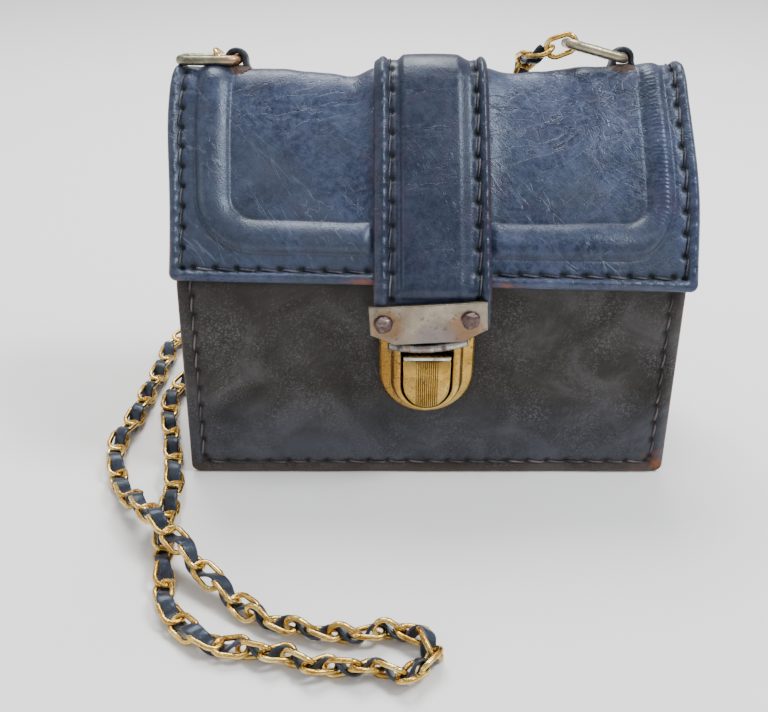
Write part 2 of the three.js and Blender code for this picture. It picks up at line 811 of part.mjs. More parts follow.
function ringLoop(side) {
  const depth = -flapThickness - footGap - loopThickness;
  const shape = new THREE.Shape();
  const outer = loopRadius + loopThickness / 2;
  const inner = loopRadius - loopThickness / 2;
  shape.moveTo(outer + loopFoot, depth);
  shape.lineTo(outer + loopFoot, depth + loopThickness);
  shape.lineTo(outer, depth + loopThickness);
  shape.lineTo(outer, ringRise);
  shape.absarc(0, ringRise, outer, 0, Math.PI, false);
  shape.lineTo(-outer, depth + loopThickness);
  shape.lineTo(-outer - loopFoot, depth + loopThickness);
  shape.lineTo(-outer - loopFoot, depth);
  shape.lineTo(-inner, depth);
  shape.lineTo(-inner, ringRise);
  shape.absarc(0, ringRise, inner, Math.PI, 0, true);
  shape.lineTo(inner, depth);
  shape.closePath();
  const geometry = new THREE.ExtrudeGeometry(shape, {
    depth: loopWidth,
    bevelEnabled: false,
    curveSegments: 8,
  });
  geometry.translate(0, 0, -loopWidth / 2);
  geometry.rotateX(Math.PI / 2);
  geometry.applyMatrix4(loopPlace(side));
  return geometry;
}

// The stations of a bend in a flat wire, with the turn of its outer side at each.
function bend(centreX, centreY, radius, from, to, count) {
  return spread(from, to, count).map((degrees) => {
    const turn = THREE.MathUtils.degToRad(degrees);
    const x = centreX + radius * Math.cos(turn);
    const y = centreY + radius * Math.sin(turn);
    return { x, y, turn };
  });
}

// A closed wire through the stations of its bends, in its own XY plane.
function wireLoop(stations, diameter, sides) {
  const rings = stations.map(({ x, y, turn }) =>
    spread(0, 2 * Math.PI, sides + 1)
      .slice(1)
      .map((angle) => {
        const out = (diameter / 2) * Math.cos(angle);
        const up = (diameter / 2) * Math.sin(angle);
        return point(x + out * Math.cos(turn), y + out * Math.sin(turn), up);
      }),
  );
  return carriedRings(rings);
}

// A wire ring with straight bars and round corners, its right bar's middle at the origin.
function ringGeometry() {
  const x = ringLength / 2 - ringWire / 2 - ringCorner;
  const y = ringWidth / 2 - ringWire / 2 - ringCorner;
  const stations = [
    ...bend(x, y, ringCorner, 0, 90, 5),
    ...bend(-x, y, ringCorner, 90, 180, 5),
    ...bend(-x, -y, ringCorner, 180, 270, 5),
    ...bend(x, -y, ringCorner, 270, 360, 5),
  ];
  const geometry = wireLoop(stations, ringWire, wireSides);
  geometry.translate(ringWire / 2 - ringLength / 2, 0, 0);
  return geometry;
}

// Each ring is held at one end by its loop: the left one lies back on the leather, the right one
// leans up towards the middle. The chain's first link is on the left ring's back bar, and on the
// right ring's raised end.
const ringPoses = [
  {
    name: "ring_left",
    side: -1,
    lean: 8.5,
    lift: 0,
    held: { x: -ringLength * 0.33, y: (ringWidth - ringWire) / 2 },
    linkTurn: 58,
    line: leftLinkLine,
  },
  {
    name: "ring_right",
    side: 1,
    lean: 10,
    lift: 15,
    held: { x: ringWire - ringLength, y: 0 },
    linkTurn: 20,
    line: rightLinkLine,
  },
];

function ringMesh(pose) {
  const mesh = namedMesh(pose.name, ringGeometry(), "nickel");
  mesh.position.copy(point(0, 0, ringRise).applyMatrix4(loopPlace(pose.side)));
  mesh.rotation.set(
    THREE.MathUtils.degToRad(-pose.lean),
    THREE.MathUtils.degToRad(pose.lift),
    0,
    "YXZ",
  );
  mesh.updateMatrix();
  return mesh;
}

// One oval chain link, centred on the origin, its long way along X.
function linkGeometry() {
  const radius = linkWidth / 2 - linkWire / 2;
  const x = linkLength / 2 - linkWidth / 2;
  const stations = [...bend(x, 0, radius, -90, 90, 6), ...bend(-x, 0, radius, 90, 270, 6)];
  return wireLoop(stations, linkWire, linkSides);
}

// The links at a ring, each turned a quarter from the one before. The first one's normal lies
// near the wire that it hangs on, turned from the bag's Y towards its X by the pose's link turn.
function endLinks(pose, ring) {
  const start = point(pose.held.x, pose.held.y, 0).applyMatrix4(ring.matrix);
  const curve = new THREE.CatmullRomCurve3(
    pose.line.map((row) => point(...row).add(start)),
    false,
    "centripetal",
  );
  const length = curve.getLength();
  const first = linkLength / 2 - linkWire - ringWire / 2 - clearance;
  const turn = THREE.MathUtils.degToRad(pose.linkTurn);
  const normal = point(Math.sin(turn), Math.cos(turn), 0);
  return [0, 1].map((i) => {
    const share = (first + i * linkPitch) / length;
    const along = curve.getTangentAt(share);
    const width = normal.clone();
    if (i === 0) width.crossVectors(normal, along);
    width.addScaledVector(along, -width.dot(along)).normalize();
    normal.crossVectors(along, width);
    const side = pose.side < 0 ? "left" : "right";
    const mesh = namedMesh(`link_${side}_${i + 1}`, linkGeometry(), "gilt");
    mesh.quaternion.setFromRotationMatrix(new THREE.Matrix4().makeBasis(along, width, normal));
    mesh.position.copy(curve.getPointAt(share));
    return mesh;
  });
}

function chainStrap() {
  const curve = new THREE.CatmullRomCurve3(
    chainRoute.map(([right, behind, up]) => point(right, bodyDepth / 2 + behind, up)),
    false,
    "centripetal",
  );
  curve.arcLengthDivisions = 1200;
  const radius = linkWidth / 2;
  const section = new THREE.Shape(
    spread(0, 2 * Math.PI, chainSides + 1)
      .slice(1)
      .map((angle) => new THREE.Vector2(radius * Math.cos(angle), radius * Math.sin(angle))),
  );
  return new THREE.ExtrudeGeometry(section, {
    steps: chainSteps,
    extrudePath: curve,
    bevelEnabled: false,
  });
}

const bag = new THREE.Group();
bag.add(namedMesh("front_panel", frontPanel(), "bodyLeather"));
bag.add(namedMesh("gusset", gusset(), "bodyLeather"));
bag.add(namedMesh("back_and_flap", backAndFlap(), "flapLeather"));
bag.add(namedMesh("centre_strap", centreStrap(), "flapLeather"));
bag.add(haspGroup());
bag.add(namedMesh("hasp_bar", barGeometry(), "steel"));
bag.add(namedMesh("lock_plate", lockPlate(), "brass"));
bag.add(namedMesh("lock_lever", lockLever(), "brass"));
bag.add(namedMesh("ring_loop_left", ringLoop(-1), "loopLeather"));
bag.add(namedMesh("ring_loop_right", ringLoop(1), "loopLeather"));
for (const pose of ringPoses) {
  const ring = ringMesh(pose);
  bag.add(ring, ...endLinks(pose, ring));
}
bag.add(namedMesh("chain_strap", chainStrap(), "gilt"));

export default bag;
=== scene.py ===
import bmesh
import bpy
import numpy as np
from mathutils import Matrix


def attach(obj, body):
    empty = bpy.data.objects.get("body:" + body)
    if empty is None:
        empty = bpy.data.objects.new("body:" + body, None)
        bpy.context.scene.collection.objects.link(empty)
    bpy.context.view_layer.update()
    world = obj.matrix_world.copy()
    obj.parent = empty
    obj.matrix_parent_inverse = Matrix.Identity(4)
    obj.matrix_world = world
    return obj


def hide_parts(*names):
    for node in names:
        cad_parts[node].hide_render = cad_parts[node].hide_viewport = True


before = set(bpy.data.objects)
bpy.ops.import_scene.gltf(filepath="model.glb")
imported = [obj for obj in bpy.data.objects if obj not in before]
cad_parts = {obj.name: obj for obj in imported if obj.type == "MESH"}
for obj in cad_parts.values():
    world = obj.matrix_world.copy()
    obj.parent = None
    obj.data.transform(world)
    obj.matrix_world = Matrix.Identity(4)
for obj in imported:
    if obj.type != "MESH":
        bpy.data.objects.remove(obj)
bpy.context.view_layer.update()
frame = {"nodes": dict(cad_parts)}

# The back, top and flap: one sheet of navy bridle leather, moulded wet over a former that leaves a
# raised U on the flap, and sewn to the body down its sides and along its foot. Lengths here are in
# millimetres; piece() turns them into metres.
BODY_WIDTH, BODY_DEPTH, BAG_HEIGHT = 171.4, 64.0, 134.0
FLAP_WIDTH, FLAP_THICKNESS, FLAP_SKEW, FLAP_CORNER = 170.0, 3.0, 3.9, 2.5
RIDGE_WIDTH, RIDGE_HEIGHT, RIDGE_FROM_SIDE, RIDGE_FROM_EDGE, RIDGE_CORNER = 10.5, 1.8, 9.0, 10.0, 13.5
# In the scene the ridge stands higher than in the solid, by this factor.
RIDGE_SWELL = 1.35
STRAP_WIDTH = 38.0
SEAM_IN, SEAM_PITCH, FIRST_HOLE = 3.9, 7.0, 4.0

# Side view from the flap's lower edge over to the back's foot: shares of body depth, bag height.
SIDE_ROWS = np.array([
    (-0.5625, 0.579), (-0.434, 0.663), (-0.302, 0.7485), (-0.13, 0.846), (0.055, 0.94),
    (0.141, 0.98), (0.219, 0.9985), (0.289, 0.9955), (0.352, 0.985), (0.42, 0.965),
    (0.472, 0.93), (0.497, 0.88), (0.5, 0.78), (0.5, 0.4), (0.5, 0.0),
])
SHOULDER, CROWN, TOP_BACK = 4, 6, 8
# The slack top line: shares of half the flap's width, and of the bag's height.
TOP_ROWS = np.array([
    (-1, 0.0045), (-0.65, 0.001), (-0.42, -0.012), (-0.3, -0.019), (-0.22, 0.001), (0, 0.0045),
    (0.22, 0.001), (0.3, -0.01), (0.42, -0.009), (0.6, 0.003), (0.85, 0.007), (1, 0.0135),
])


def smooth_curve(knots, steps):
    """Centripetal Catmull-Rom curve: each span is a cubic between two knots, and the slope at a
    knot comes from the spans on both sides, weighed by the square roots of their lengths."""
    knots = np.asarray(knots, float)
    padded = np.vstack([2 * knots[0] - knots[1], knots, 2 * knots[-1] - knots[-2]])
    step = np.diff(padded, axis=0)
    gap = np.sqrt(np.linalg.norm(step, axis=1))[:, None]
    before, here, after = gap[:-2], gap[1:-1], gap[2:]
    first, span, last = step[:-2], step[1:-1], step[2:]
    leave = here * (first / before - (first + span) / (before + here) + span / here)
    arrive = here * (span / here - (span + last) / (here + after) + last / after)
    t = np.linspace(0, 1, steps, endpoint=False)[None, :, None]
    low, high = knots[:-1, None], knots[1:, None]
    curve = (2 * t**3 - 3 * t**2 + 1) * low + (t**3 - 2 * t**2 + t) * leave[:, None]
    curve = curve + (3 * t**2 - 2 * t**3) * high + (t**3 - t**2) * arrive[:, None]
    return np.vstack([curve.reshape(-1, knots.shape[1]), knots[-1]])


def run_along(points):
    """Distance from the first point, summed over the spans of a fine curve."""
    return np.append(0, np.cumsum(np.linalg.norm(np.diff(points, axis=0), axis=1)))


def unit(vectors):
    return vectors / np.linalg.norm(vectors, axis=-1, keepdims=True)


def soft_step(low, high, value):
    """0 below low, 1 above high, and the cubic 3t^2 - 2t^3 between them."""
    t = np.clip((value - low) / (high - low), 0, 1)
    return t * t * (3 - 2 * t)


def bump_at(value, centre, width):
    """A bell: e to the minus square of the distance from its centre, over its width."""
    return np.exp(-(((value - centre) / width) ** 2))


def waves(*terms):
    """A sum of sines: each term gives a height and the phase at every place, in turns."""
    return sum(height * np.sin(2 * np.pi * phase) for height, phase in terms)


def squared(wave, power):
    """A sine or cosine brought nearer to one by a power below one, with its sign kept."""
    return np.sign(wave) * np.abs(wave) ** power


def superellipse(turn, power):
    return squared(np.cos(turn), power), squared(np.sin(turn), power)


def at_run(run, runs, line):
    """A line's coordinates at distances along it."""
    return np.stack([np.interp(run, runs, line[:, i]) for i in range(line.shape[1])], -1)


def as_points(*coordinates):
    """Coordinates of several shapes, broadcast together into points."""
    return np.stack(np.broadcast_arrays(*coordinates), -1)


STEPS = 40
side_points = smooth_curve(SIDE_ROWS * [BODY_DEPTH, BAG_HEIGHT], STEPS)
side_run = run_along(side_points)
side_slope = unit(np.gradient(side_points, side_run, axis=0))
SIDE_LENGTH = side_run[-1]
EDGE_HEIGHT = side_points[0, 1]
shoulder_run, crown_run, top_back_run = side_run[[SHOULDER * STEPS, CROWN * STEPS, TOP_BACK * STEPS]]
top_line = smooth_curve(TOP_ROWS, STEPS)


def side_view(distance):
    """Depth and height of the leather's outer face at a distance along the side view, and the
    direction out of it there. Past the lower edge the line runs on straight."""
    past = np.minimum(distance, 0)
    depth, height = np.moveaxis(at_run(distance, side_run, side_points), -1, 0)
    along = unit(at_run(distance, side_run, side_slope))
    return depth + past * along[..., 0], height + past * along[..., 1], -along[..., 1], along[..., 0]


def top_lift(share, height):
    """The top line's rise, in full at the top and fading to nothing at the flap's lower edge."""
    rise = np.interp(np.clip(share, -1, 1), top_line[:, 0], top_line[:, 1])
    return rise * BAG_HEIGHT * soft_step(EDGE_HEIGHT, BAG_HEIGHT, height)


def on_leather(across, distance, out):
    """A point of the sheet: its place on the side view, moved out of the leather, with the lower
    edge's skew taken up over the slope and the width growing a little down the back."""
    share = across / (FLAP_WIDTH / 2)
    skew = -share * FLAP_SKEW / 2 * np.maximum(0, 1 - distance / (SIDE_LENGTH / 4))
    depth, height, out_y, out_z = side_view(np.minimum(distance + skew, SIDE_LENGTH))
    grown = soft_step(SIDE_LENGTH / 2, SIDE_LENGTH, distance)
    width = FLAP_WIDTH + (BODY_WIDTH - FLAP_WIDTH) * grown
    z = height + out_z * out + top_lift(share, height)
    bulge = np.where(share < 0, 2.2 * bump_at(distance, 60, 26), 2.0 * bump_at(distance, 30, 26))
    x = share * width / 2 + bulge * np.sign(share) * np.abs(share) ** 3
    return as_points(x, depth + out_y * out, z)


def ridge_lay(across, distance):
    """How far a place lies inwards of the middle line of the moulded U, less than 0 outside it,
    and how far along that line it is from the foot's straight part, round the corner and up.
    Wear has pressed the right run narrower and further out."""
    side_line = FLAP_WIDTH / 2 - RIDGE_FROM_SIDE - RIDGE_WIDTH / 2
    foot_line = RIDGE_FROM_EDGE + RIDGE_WIDTH / 2
    side = np.abs(across)
    side = np.where(across > 0, np.interp(side, (0, 50, 69.5, 76.7, 85), (0, 46, 65.5, 76, 85)), side)
    right, down = side - (side_line - RIDGE_CORNER), foot_line + RIDGE_CORNER - distance
    in_corner = RIDGE_CORNER - np.hypot(np.maximum(right, 0), np.maximum(down, 0))
    inwards = np.where(down <= 0, side_line - side, np.where(right <= 0, distance - foot_line, in_corner))
    round_corner = RIDGE_CORNER * np.arctan2(np.maximum(right, 0), np.maximum(down, 1e-6))
    return inwards, np.where(right <= 0, right, round_corner - np.minimum(down, 0))


def seam_marks(away, along, pitch):
    """A saddle-stitched seam at each place: away is the distance outside the seam, along runs
    with it. Gives the groove with its pits, the puffed band outside it, and the painted shade that
    darkens the holes and, more weakly, the groove."""
    hole = (np.mod(along / pitch + 0.5, 1) - 0.5) * pitch
    pit = np.exp(-((away + 0.8) / 0.95) ** 2 - (hole / 1.05) ** 2)
    puff = bump_at(away, 1.8, 1.2) * np.cos(np.pi * hole / pitch)
    pull = bump_at(away, 1.2, 1.6) * bump_at(hole, 0, 1.1)
    groove = bump_at(away, 0, 0.7)
    # Painted shade: black in the awl holes, and a little in the groove.
    shade = np.clip(1.7 * pit + 0.4 * groove, 0, 1)
    return -0.5 * groove - 0.9 * pit + 0.7 * puff - 0.45 * pull + 0.45 * bump_at(away, 2.4, 1.3), shade


def flap_marks(across, distance):
    """Relief and marks of the sheet's outer face: the ridge, which climbs slowly from outside and
    drops at a crease inside, the seams, soft dents and the folds of the slack top."""
    side = np.abs(across)
    inwards, along = ridge_lay(across, distance)
    inwards = inwards / (RIDGE_WIDTH / 2)
    shown = 1 - soft_step(shoulder_run + 6, top_back_run, distance)
    shown = shown * soft_step(STRAP_WIDTH * 0.5, STRAP_WIDTH * 0.56, side)
    from_top = inwards + 0.3
    climb = 1 - np.clip(np.where(from_top > 0, from_top / 1.3, -from_top / 0.8), 0, 1) ** 2
    inner_crease, outer_crease = bump_at(inwards, 1.08, 0.11), bump_at(inwards, -1.1, 0.11)
    relief = RIDGE_HEIGHT * RIDGE_SWELL * climb - 0.4 * inner_crease - 0.35 * outer_crease
    relief = shown * (relief - 0.35 * soft_step(0.9, 1.3, inwards))
    crease = 0.8 * outer_crease * (1 - soft_step(14, 30, distance))
    crease = shown * (crease + 0.8 * inner_crease * (1 - soft_step(20, 40, distance)))
    from_side = FLAP_WIDTH / 2 - side
    ends = np.minimum(distance, SIDE_LENGTH - distance)
    side_relief, side_hole = seam_marks(SEAM_IN - from_side, distance - FIRST_HOLE, SEAM_PITCH)
    end_relief, end_hole = seam_marks(SEAM_IN - ends, across, SEAM_PITCH)
    by_side = soft_step(SEAM_IN - 0.8, SEAM_IN, ends)
    by_end = soft_step(SEAM_IN - 0.8, SEAM_IN, from_side)
    relief = relief + side_relief * by_side + end_relief * by_end
    hole = np.maximum(side_hole * by_side, end_hole * by_end)
    relief = relief + waves((0.12, across / 47 + distance / 90), (0.09, across / 29 - distance / 37))
    slack = bump_at(distance, top_back_run - 12, 16) * soft_step(20, 30, side)
    relief = relief + slack * waves((0.2, across / 17 + 0.2), (0.08, across / 8.3 + distance / 40))
    fold = bump_at(side, 42, 22) * (across < 0) + 0.6 * bump_at(side, 68, 12) * (across > 0)
    for where, depth in ((58.5, 0.16), (61.5, 0.22), (64.2, 0.12)):
        relief = relief - depth * fold * bump_at(distance + 0.9 * np.sin(across / 7 + where), where, 0.55)
    bare = 0.2 + 1.5 * bump_at(side, STRAP_WIDTH / 2 + 4, 5) * (distance < 5)
    bare = bare + 0.5 * (across < 0) * bump_at(distance, 6, 12) * (from_side < 4)
    edge = bare * np.exp(-np.minimum(from_side, ends) / 0.9)
    right = across > 0
    pleats = shown * climb * (0.08 + 0.92 * right) * (0.06 + 0.94 * soft_step(8, 24, along))
    cracks = np.where(right, 0.08 + 0.8 * soft_step(34, 62, distance), 0.15 * soft_step(48, 62, distance))
    cracks = cracks * soft_step(-30, 4, np.where(right, across - 30, 20))
    cracks = cracks * (1 - shown * soft_step(0, 0.4, climb))
    cracks = cracks * (1 - 0.85 * soft_step(top_back_run - 5, top_back_run + 25, distance))
    return relief, np.stack([hole, edge, crease], -1), np.stack([pleats, cracks, along / 100], -1)


def rounded_run(inner, reach):
    """Positions with a quarter round added before the first and after the last: how far each one
    lies along, and the share of the sheet's thickness that is left there."""
    turn = np.radians([0, 22.5, 45, 67.5])
    before = inner[0] - reach * np.cos(turn)
    after = inner[-1] + reach * np.cos(turn[::-1])
    share = np.concatenate([np.sin(turn), np.ones(len(inner)), np.sin(turn[::-1])])
    return np.concatenate([before, inner, after]), share


def sheet_piece(place, columns, rows, thickness, marks_of):
    """A leather sheet as one closed skin. Columns run across it and rows along it; both end in a
    quarter round. A section goes along the outer face and back along the inner one, and each
    point lies half the thickness, times the share left at its column and row, from the middle."""
    reach = thickness / 2
    across, column_share = rounded_run(columns, reach)
    along, row_share = rounded_run(rows, reach)
    there, share = np.append(along, along[-2:0:-1]), np.append(row_share, -row_share[-2:0:-1])
    a, d = np.meshgrid(across, there, indexing="ij")
    relief, marks, *folds = marks_of(a, d)
    half = reach * column_share[:, None] * share[None, :]
    out = half - reach + relief * column_share[:, None] * np.maximum(share, 0)[None, :]
    points = place(a, d, out)
    outer = np.broadcast_to(np.maximum(share, 0)[None, :, None], marks.shape[:2] + (1,))
    lay = np.concatenate([a[..., None], d[..., None], outer], -1)
    attributes = {"lay": lay, "marks": marks * outer} | ({"folds": folds[0] * outer} if folds else {})
    return points, grid_faces(*points.shape[:2], wrap=True), attributes


def grid_faces(rows, columns, wrap=False, loop=False):
    """Quads of a grid of points, row by row. wrap joins the last column to the first, and loop
    the last row to the first."""
    i = np.arange(rows if loop else rows - 1)[:, None]
    j = np.arange(columns if wrap else columns - 1)[None, :]
    below, right = (i + 1) % rows, (j + 1) % columns
    corners = [i * columns + j, below * columns + j, below * columns + right, i * columns + right]
    return np.stack([np.broadcast_to(c, (i.size, j.size)) for c in corners], -1).reshape(-1, 4)


def end_caps(rows, columns):
    """The first and the last row of a grid of points, as two faces."""
    return [range(columns), range((rows - 1) * columns, rows * columns)]


def piece(name, points, faces, finish, slot, body="bag", attributes=None, caps=()):
    """A finished piece: points in millimetres become a mesh in metres, doubles are merged, faces
    point outwards, and the piece rides on its body."""
    points = points.reshape(-1, 3)
    mesh = bpy.data.meshes.new(name)
    mesh.from_pydata((points * 0.001).tolist(), [], faces.tolist() + [list(cap) for cap in caps])
    for key, values in (attributes or {}).items():
        layer = mesh.attributes.new(key, "FLOAT_VECTOR", "POINT")
        layer.data.foreach_set("vector", np.ascontiguousarray(values, np.float32).ravel())
    net = bmesh.new()
    net.from_mesh(mesh)
    bmesh.ops.remove_doubles(net, verts=net.verts, dist=2e-6)
    bmesh.ops.recalc_face_normals(net, faces=net.faces)
    net.to_mesh(mesh)
    net.free()
    mesh.shade_smooth()
    mesh.materials.append(finish)
    thing = bpy.data.objects.new(name, mesh)
    bpy.context.scene.collection.objects.link(thing)
    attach(thing, body)
    return thing


def start_adding(tree):
    """A node tree's adder: add(kind, inputs, settings) makes one node, with numbers set on its
    sockets and other nodes' outputs linked to them."""
    def add(kind, inputs=None, node=None, **settings):
        node = node or tree.nodes.new("ShaderNode" + kind)
        for key, value in settings.items():
            setattr(node, key, value)
        for key, value in (inputs or {}).items():
            if isinstance(value, bpy.types.NodeSocket):
                tree.links.new(value, node.inputs[key])
            else:
                node.inputs[key].default_value = value
        return node

    return add


def start_finish(name, roughness, metallic=0.0, specular=0.5):
    """A new material, its shader and its node tree's adder."""
    material = bpy.data.materials.new(name)
    material.use_nodes = True
    tree = material.node_tree
    shader = tree.nodes["Principled BSDF"]
    shader.inputs["Roughness"].default_value = roughness
    shader.inputs["Metallic"].default_value = metallic
    shader.inputs["Specular IOR Level"].default_value = specular
    return material, shader, start_adding(tree)


def ramp(add, factor, *stops):
    """A colour ramp: each stop is a place and a colour or a grey."""
    node = add("ValToRGB", {"Fac": factor})
    while len(node.color_ramp.elements) < len(stops):
        node.color_ramp.elements.new(0.5)
    for element, (position, colour) in zip(node.color_ramp.elements, stops):
        element.position = position
        grey = (colour,) * 3 if isinstance(colour, float) else colour
        element.color = (*grey, 1)
    return node.outputs["Color"]


def mix(add, share, low, high):
    """One colour over another; share is a number or a socket."""
    node = add("Mix", data_type="RGBA")
    sockets = {"Factor_Float": share, "A_Color": low, "B_Color": high}
    for key, value in sockets.items():
        target = next(s for s in node.inputs if s.identifier == key)
        if isinstance(value, bpy.types.NodeSocket):
            node.id_data.links.new(value, target)
        else:
            target.default_value = value if key == "Factor_Float" else (*value, 1)
    return next(s for s in node.outputs if s.identifier == "Result_Color")


def maths(add, operation, first, second=0.0, third=0.0):
    return add("Math", {0: first, 1: second, 2: third}, operation=operation).outputs[0]


def times(add, first, second):
    return maths(add, "MULTIPLY", first, second)


def scaled(add, value, factor, base):
    """The value times a factor, plus a base."""
    return maths(add, "MULTIPLY_ADD", value, factor, base)


def noise(add, where, scale, detail=4.0, roughness=0.55, distortion=0.0):
    inputs = {"Vector": where, "Scale": scale, "Detail": detail, "Roughness": roughness,
              "Distortion": distortion}
    return add("TexNoise", inputs).outputs["Fac"]


def stretched(add, where, angle, stretch):
    """Coordinates turned in the sheet's plane and drawn out, for scratches and creases."""
    inputs = {"Vector": where, "Rotation": (0, 0, np.radians(angle)), "Scale": stretch}
    return add("Mapping", inputs, vector_type="TEXTURE").outputs["Vector"]


def drifting(add, where, scale, reach):
    """Coordinates shifted by a slow noise, so that straight patterns bend."""
    slow = add("TexNoise", {"Vector": where, "Scale": scale, "Detail": 1.0}).outputs["Color"]
    shift = add("VectorMath", {0: slow, "Scale": reach}, operation="SCALE").outputs[0]
    return add("VectorMath", {0: where, 1: shift}, operation="ADD").outputs[0]


def attribute(add, name):
    return add("Attribute", attribute_name=name).outputs["Vector"]


def parts(add, vector):
    """The X, Y and Z sockets of a vector."""
    return add("SeparateXYZ", {0: vector}).outputs


def set_surface(add, shader, colour, height, strength, distance, **more):
    """Colour and bump of a shader, and more of its inputs by name."""
    bump = add("Bump", {"Strength": strength, "Distance": distance, "Height": height})
    add(None, {"Base Color": colour, "Normal": bump.outputs[0]} | more, node=shader)


NAVY_LOW, NAVY_MID, NAVY_HIGH = (0.007, 0.01, 0.026), (0.027, 0.037, 0.078), (0.066, 0.084, 0.148)
SLATE = (0.034, 0.043, 0.06)
PLUM, RAW_EDGE, CREASE_BROWN = (0.042, 0.028, 0.06), (0.24, 0.066, 0.018), (0.115, 0.09, 0.08)
# HOLE_SHADE is the painted shade of the awl holes.
HOLE_SHADE, PALE_SCRATCH = (0.004, 0.004, 0.005), (0.19, 0.22, 0.3)


def dyed(add, lay, low, middle, high, fading):
    """Mottled dye: clouds of three tones with a fine mottle, plum casts and grey fading."""
    cloud = noise(add, lay, 0.045, 5, 0.6, 0.6)
    mottle = noise(add, lay, 0.55, 5, 0.68)
    colour = ramp(add, cloud, (0.32, low), (0.52, middle), (0.72, high))
    colour = mix(add, ramp(add, mottle, (0.42, 0.0), (0.68, 0.6)), colour, high)
    colour = mix(add, ramp(add, mottle, (0.32, 0.5), (0.5, 0.0)), colour, low)
    plum = ramp(add, noise(add, lay, 0.09, 3, 0.5, 1.0), (0.52, 0.0), (0.68, 0.4))
    colour = mix(add, plum, colour, PLUM)
    faded = ramp(add, noise(add, lay, 0.024, 4, 0.6, 0.5), (0.44, 0.0), (0.62, fading))
    return mix(add, faded, colour, SLATE), mottle


def scratched(add, lay, swayed, scratches, colour, height):
    """Pale scratches over a colour and a bump height: contour lines of noise that is drawn out
    at an angle, by a stretch and a width, and broken up along their length."""
    where_scratched = ramp(add, noise(add, lay, 0.03, 2), (0.4, 0.1), (0.6, 1.0))
    for angle, stretch, width in scratches:
        wavy = noise(add, stretched(add, swayed, angle, stretch), 1.0, 1.5, 0.4)
        line = ramp(add, wavy, (0.5 - width, 0.0), (0.5, 1.0), (0.5 + width, 0.0))
        broken = noise(add, stretched(add, lay, angle, (28.0, 4.0, 1.0)), 1.0, 3)
        broken = ramp(add, broken, (0.5, 0.0), (0.6, 1.0))
        line = mix(add, times(add, where_scratched, broken), (0, 0, 0), line)
        colour = mix(add, times(add, line, 0.28), colour, PALE_SCRATCH)
        height = scaled(add, line, 0.5, height)
    return colour, height


def cracked(add, lay, bent, swayed, cells, dry, dark, colour, height):
    """Age over a colour and a bump height: a net of cracks with pale lips, from cells with an
    angle, a stretch, a depth and a spread of their own, and long slanting furrows."""
    angle, stretch, depth, loose = cells
    net = add("TexVoronoi", {"Vector": stretched(add, bent, angle, stretch), "Scale": 1.0},
              feature="DISTANCE_TO_EDGE").outputs["Distance"]
    crack = ramp(add, net, (0.0, depth), (0.035, 0.0))
    lip = ramp(add, net, (0.02, 0.0), (0.05, 0.12), (0.1, 0.0))
    spread = maths(add, "ADD", dry, ramp(add, noise(add, lay, 0.03, 3, 0.5), (0.52, 0.0), (0.64, loose)))
    colour = mix(add, times(add, spread, crack), colour, dark)
    colour = mix(add, times(add, spread, lip), colour, PALE_SCRATCH)
    height = scaled(add, times(add, spread, crack), -1.0, height)
    long_crease = noise(add, stretched(add, swayed, 22, (24.0, 5.0, 1.0)), 1.0, 2.0, 0.5)
    furrow = ramp(add, long_crease, (0.475, 0.0), (0.487, 0.8), (0.5, 0.0))
    furrow_lip = ramp(add, long_crease, (0.495, 0.0), (0.515, 0.25), (0.55, 0.0))
    old = maths(add, "POWER", dry, 0.45)
    colour = mix(add, times(add, old, furrow), colour, dark)
    colour = mix(add, times(add, old, furrow_lip), colour, PALE_SCRATCH)
    return colour, scaled(add, times(add, old, furrow), -1.6, height)


def leather_finish(name, low, middle, high, roughness, scratches, cells, raw=1.0):
    """Leather on the sheet's own coordinates: dye, scratches, cracks, fine pleats over the ridge
    and pores. The marks give the painted shade of the awl holes, the raw edges and the creases.
    The folds give where pleats and cracks are deep; on a piece that has no folds they are zero."""
    material, shader, add = start_finish(name, roughness, specular=0.4)
    lay = attribute(add, "lay")
    hole, edge, crease = parts(add, attribute(add, "marks"))
    pleats, dry, along = parts(add, attribute(add, "folds"))
    swayed, bent = drifting(add, lay, 0.02, 16.0), drifting(add, lay, 0.16, 3.0)
    colour, mottle = dyed(add, lay, low, middle, high, raw * 0.65)
    colour, height = scratched(add, lay, swayed, scratches, colour, times(add, mottle, 0.4))
    colour, height = cracked(add, lay, bent, swayed, cells, dry, low, colour, height)
    hatch = noise(add, stretched(add, swayed, -42, (9.0, 0.7, 1.0)), 1.0, 3, 0.6)
    height = scaled(add, hatch, 0.5, height)
    unsteady = scaled(add, noise(add, lay, 0.25, 3), 13.0, times(add, along, 450.0))
    pleat = times(add, maths(add, "SINE", unsteady), times(add, pleats, mottle))
    height = scaled(add, pleat, 1.0, height)
    patch = ramp(add, noise(add, lay, 0.12, 3), (0.42, 0.15), (0.6, 1.0))
    worn = mix(add, patch, (0, 0, 0), ramp(add, edge, (0.12, 0.0), (0.75, raw)))
    colour = mix(add, worn, colour, RAW_EDGE)
    colour = mix(add, ramp(add, crease, (0.45, 0.0), (1.0, 0.6)), colour, CREASE_BROWN)
    # Painted shade: the awl holes go nearly black.
    colour = mix(add, hole, colour, HOLE_SHADE)
    pores = add("TexVoronoi", {"Vector": bent, "Scale": 1.9}).outputs["Distance"]
    height = scaled(add, pores, 0.35, height)
    height = scaled(add, noise(add, lay, 4.0, 3), 0.2, height)
    shine = scaled(add, noise(add, lay, 0.22, 5, 0.65), 0.36, roughness - 0.18)
    shine = scaled(add, hole, 0.4, shine)
    shader.inputs["Specular Tint"].default_value = (0.72, 0.86, 1, 1)
    set_surface(add, shader, colour, height, 0.55, 0.0002, Roughness=shine)
    return material


flap_leather = leather_finish(
    "flap_leather", NAVY_LOW, NAVY_MID, NAVY_HIGH, 0.33,
    scratches=((-40, (34.0, 2.6, 1.0), 0.03), (-58, (18.0, 1.8, 1.0), 0.025)),
    cells=(-6, (13.0, 3.6, 1.0), 0.6, 0.08))


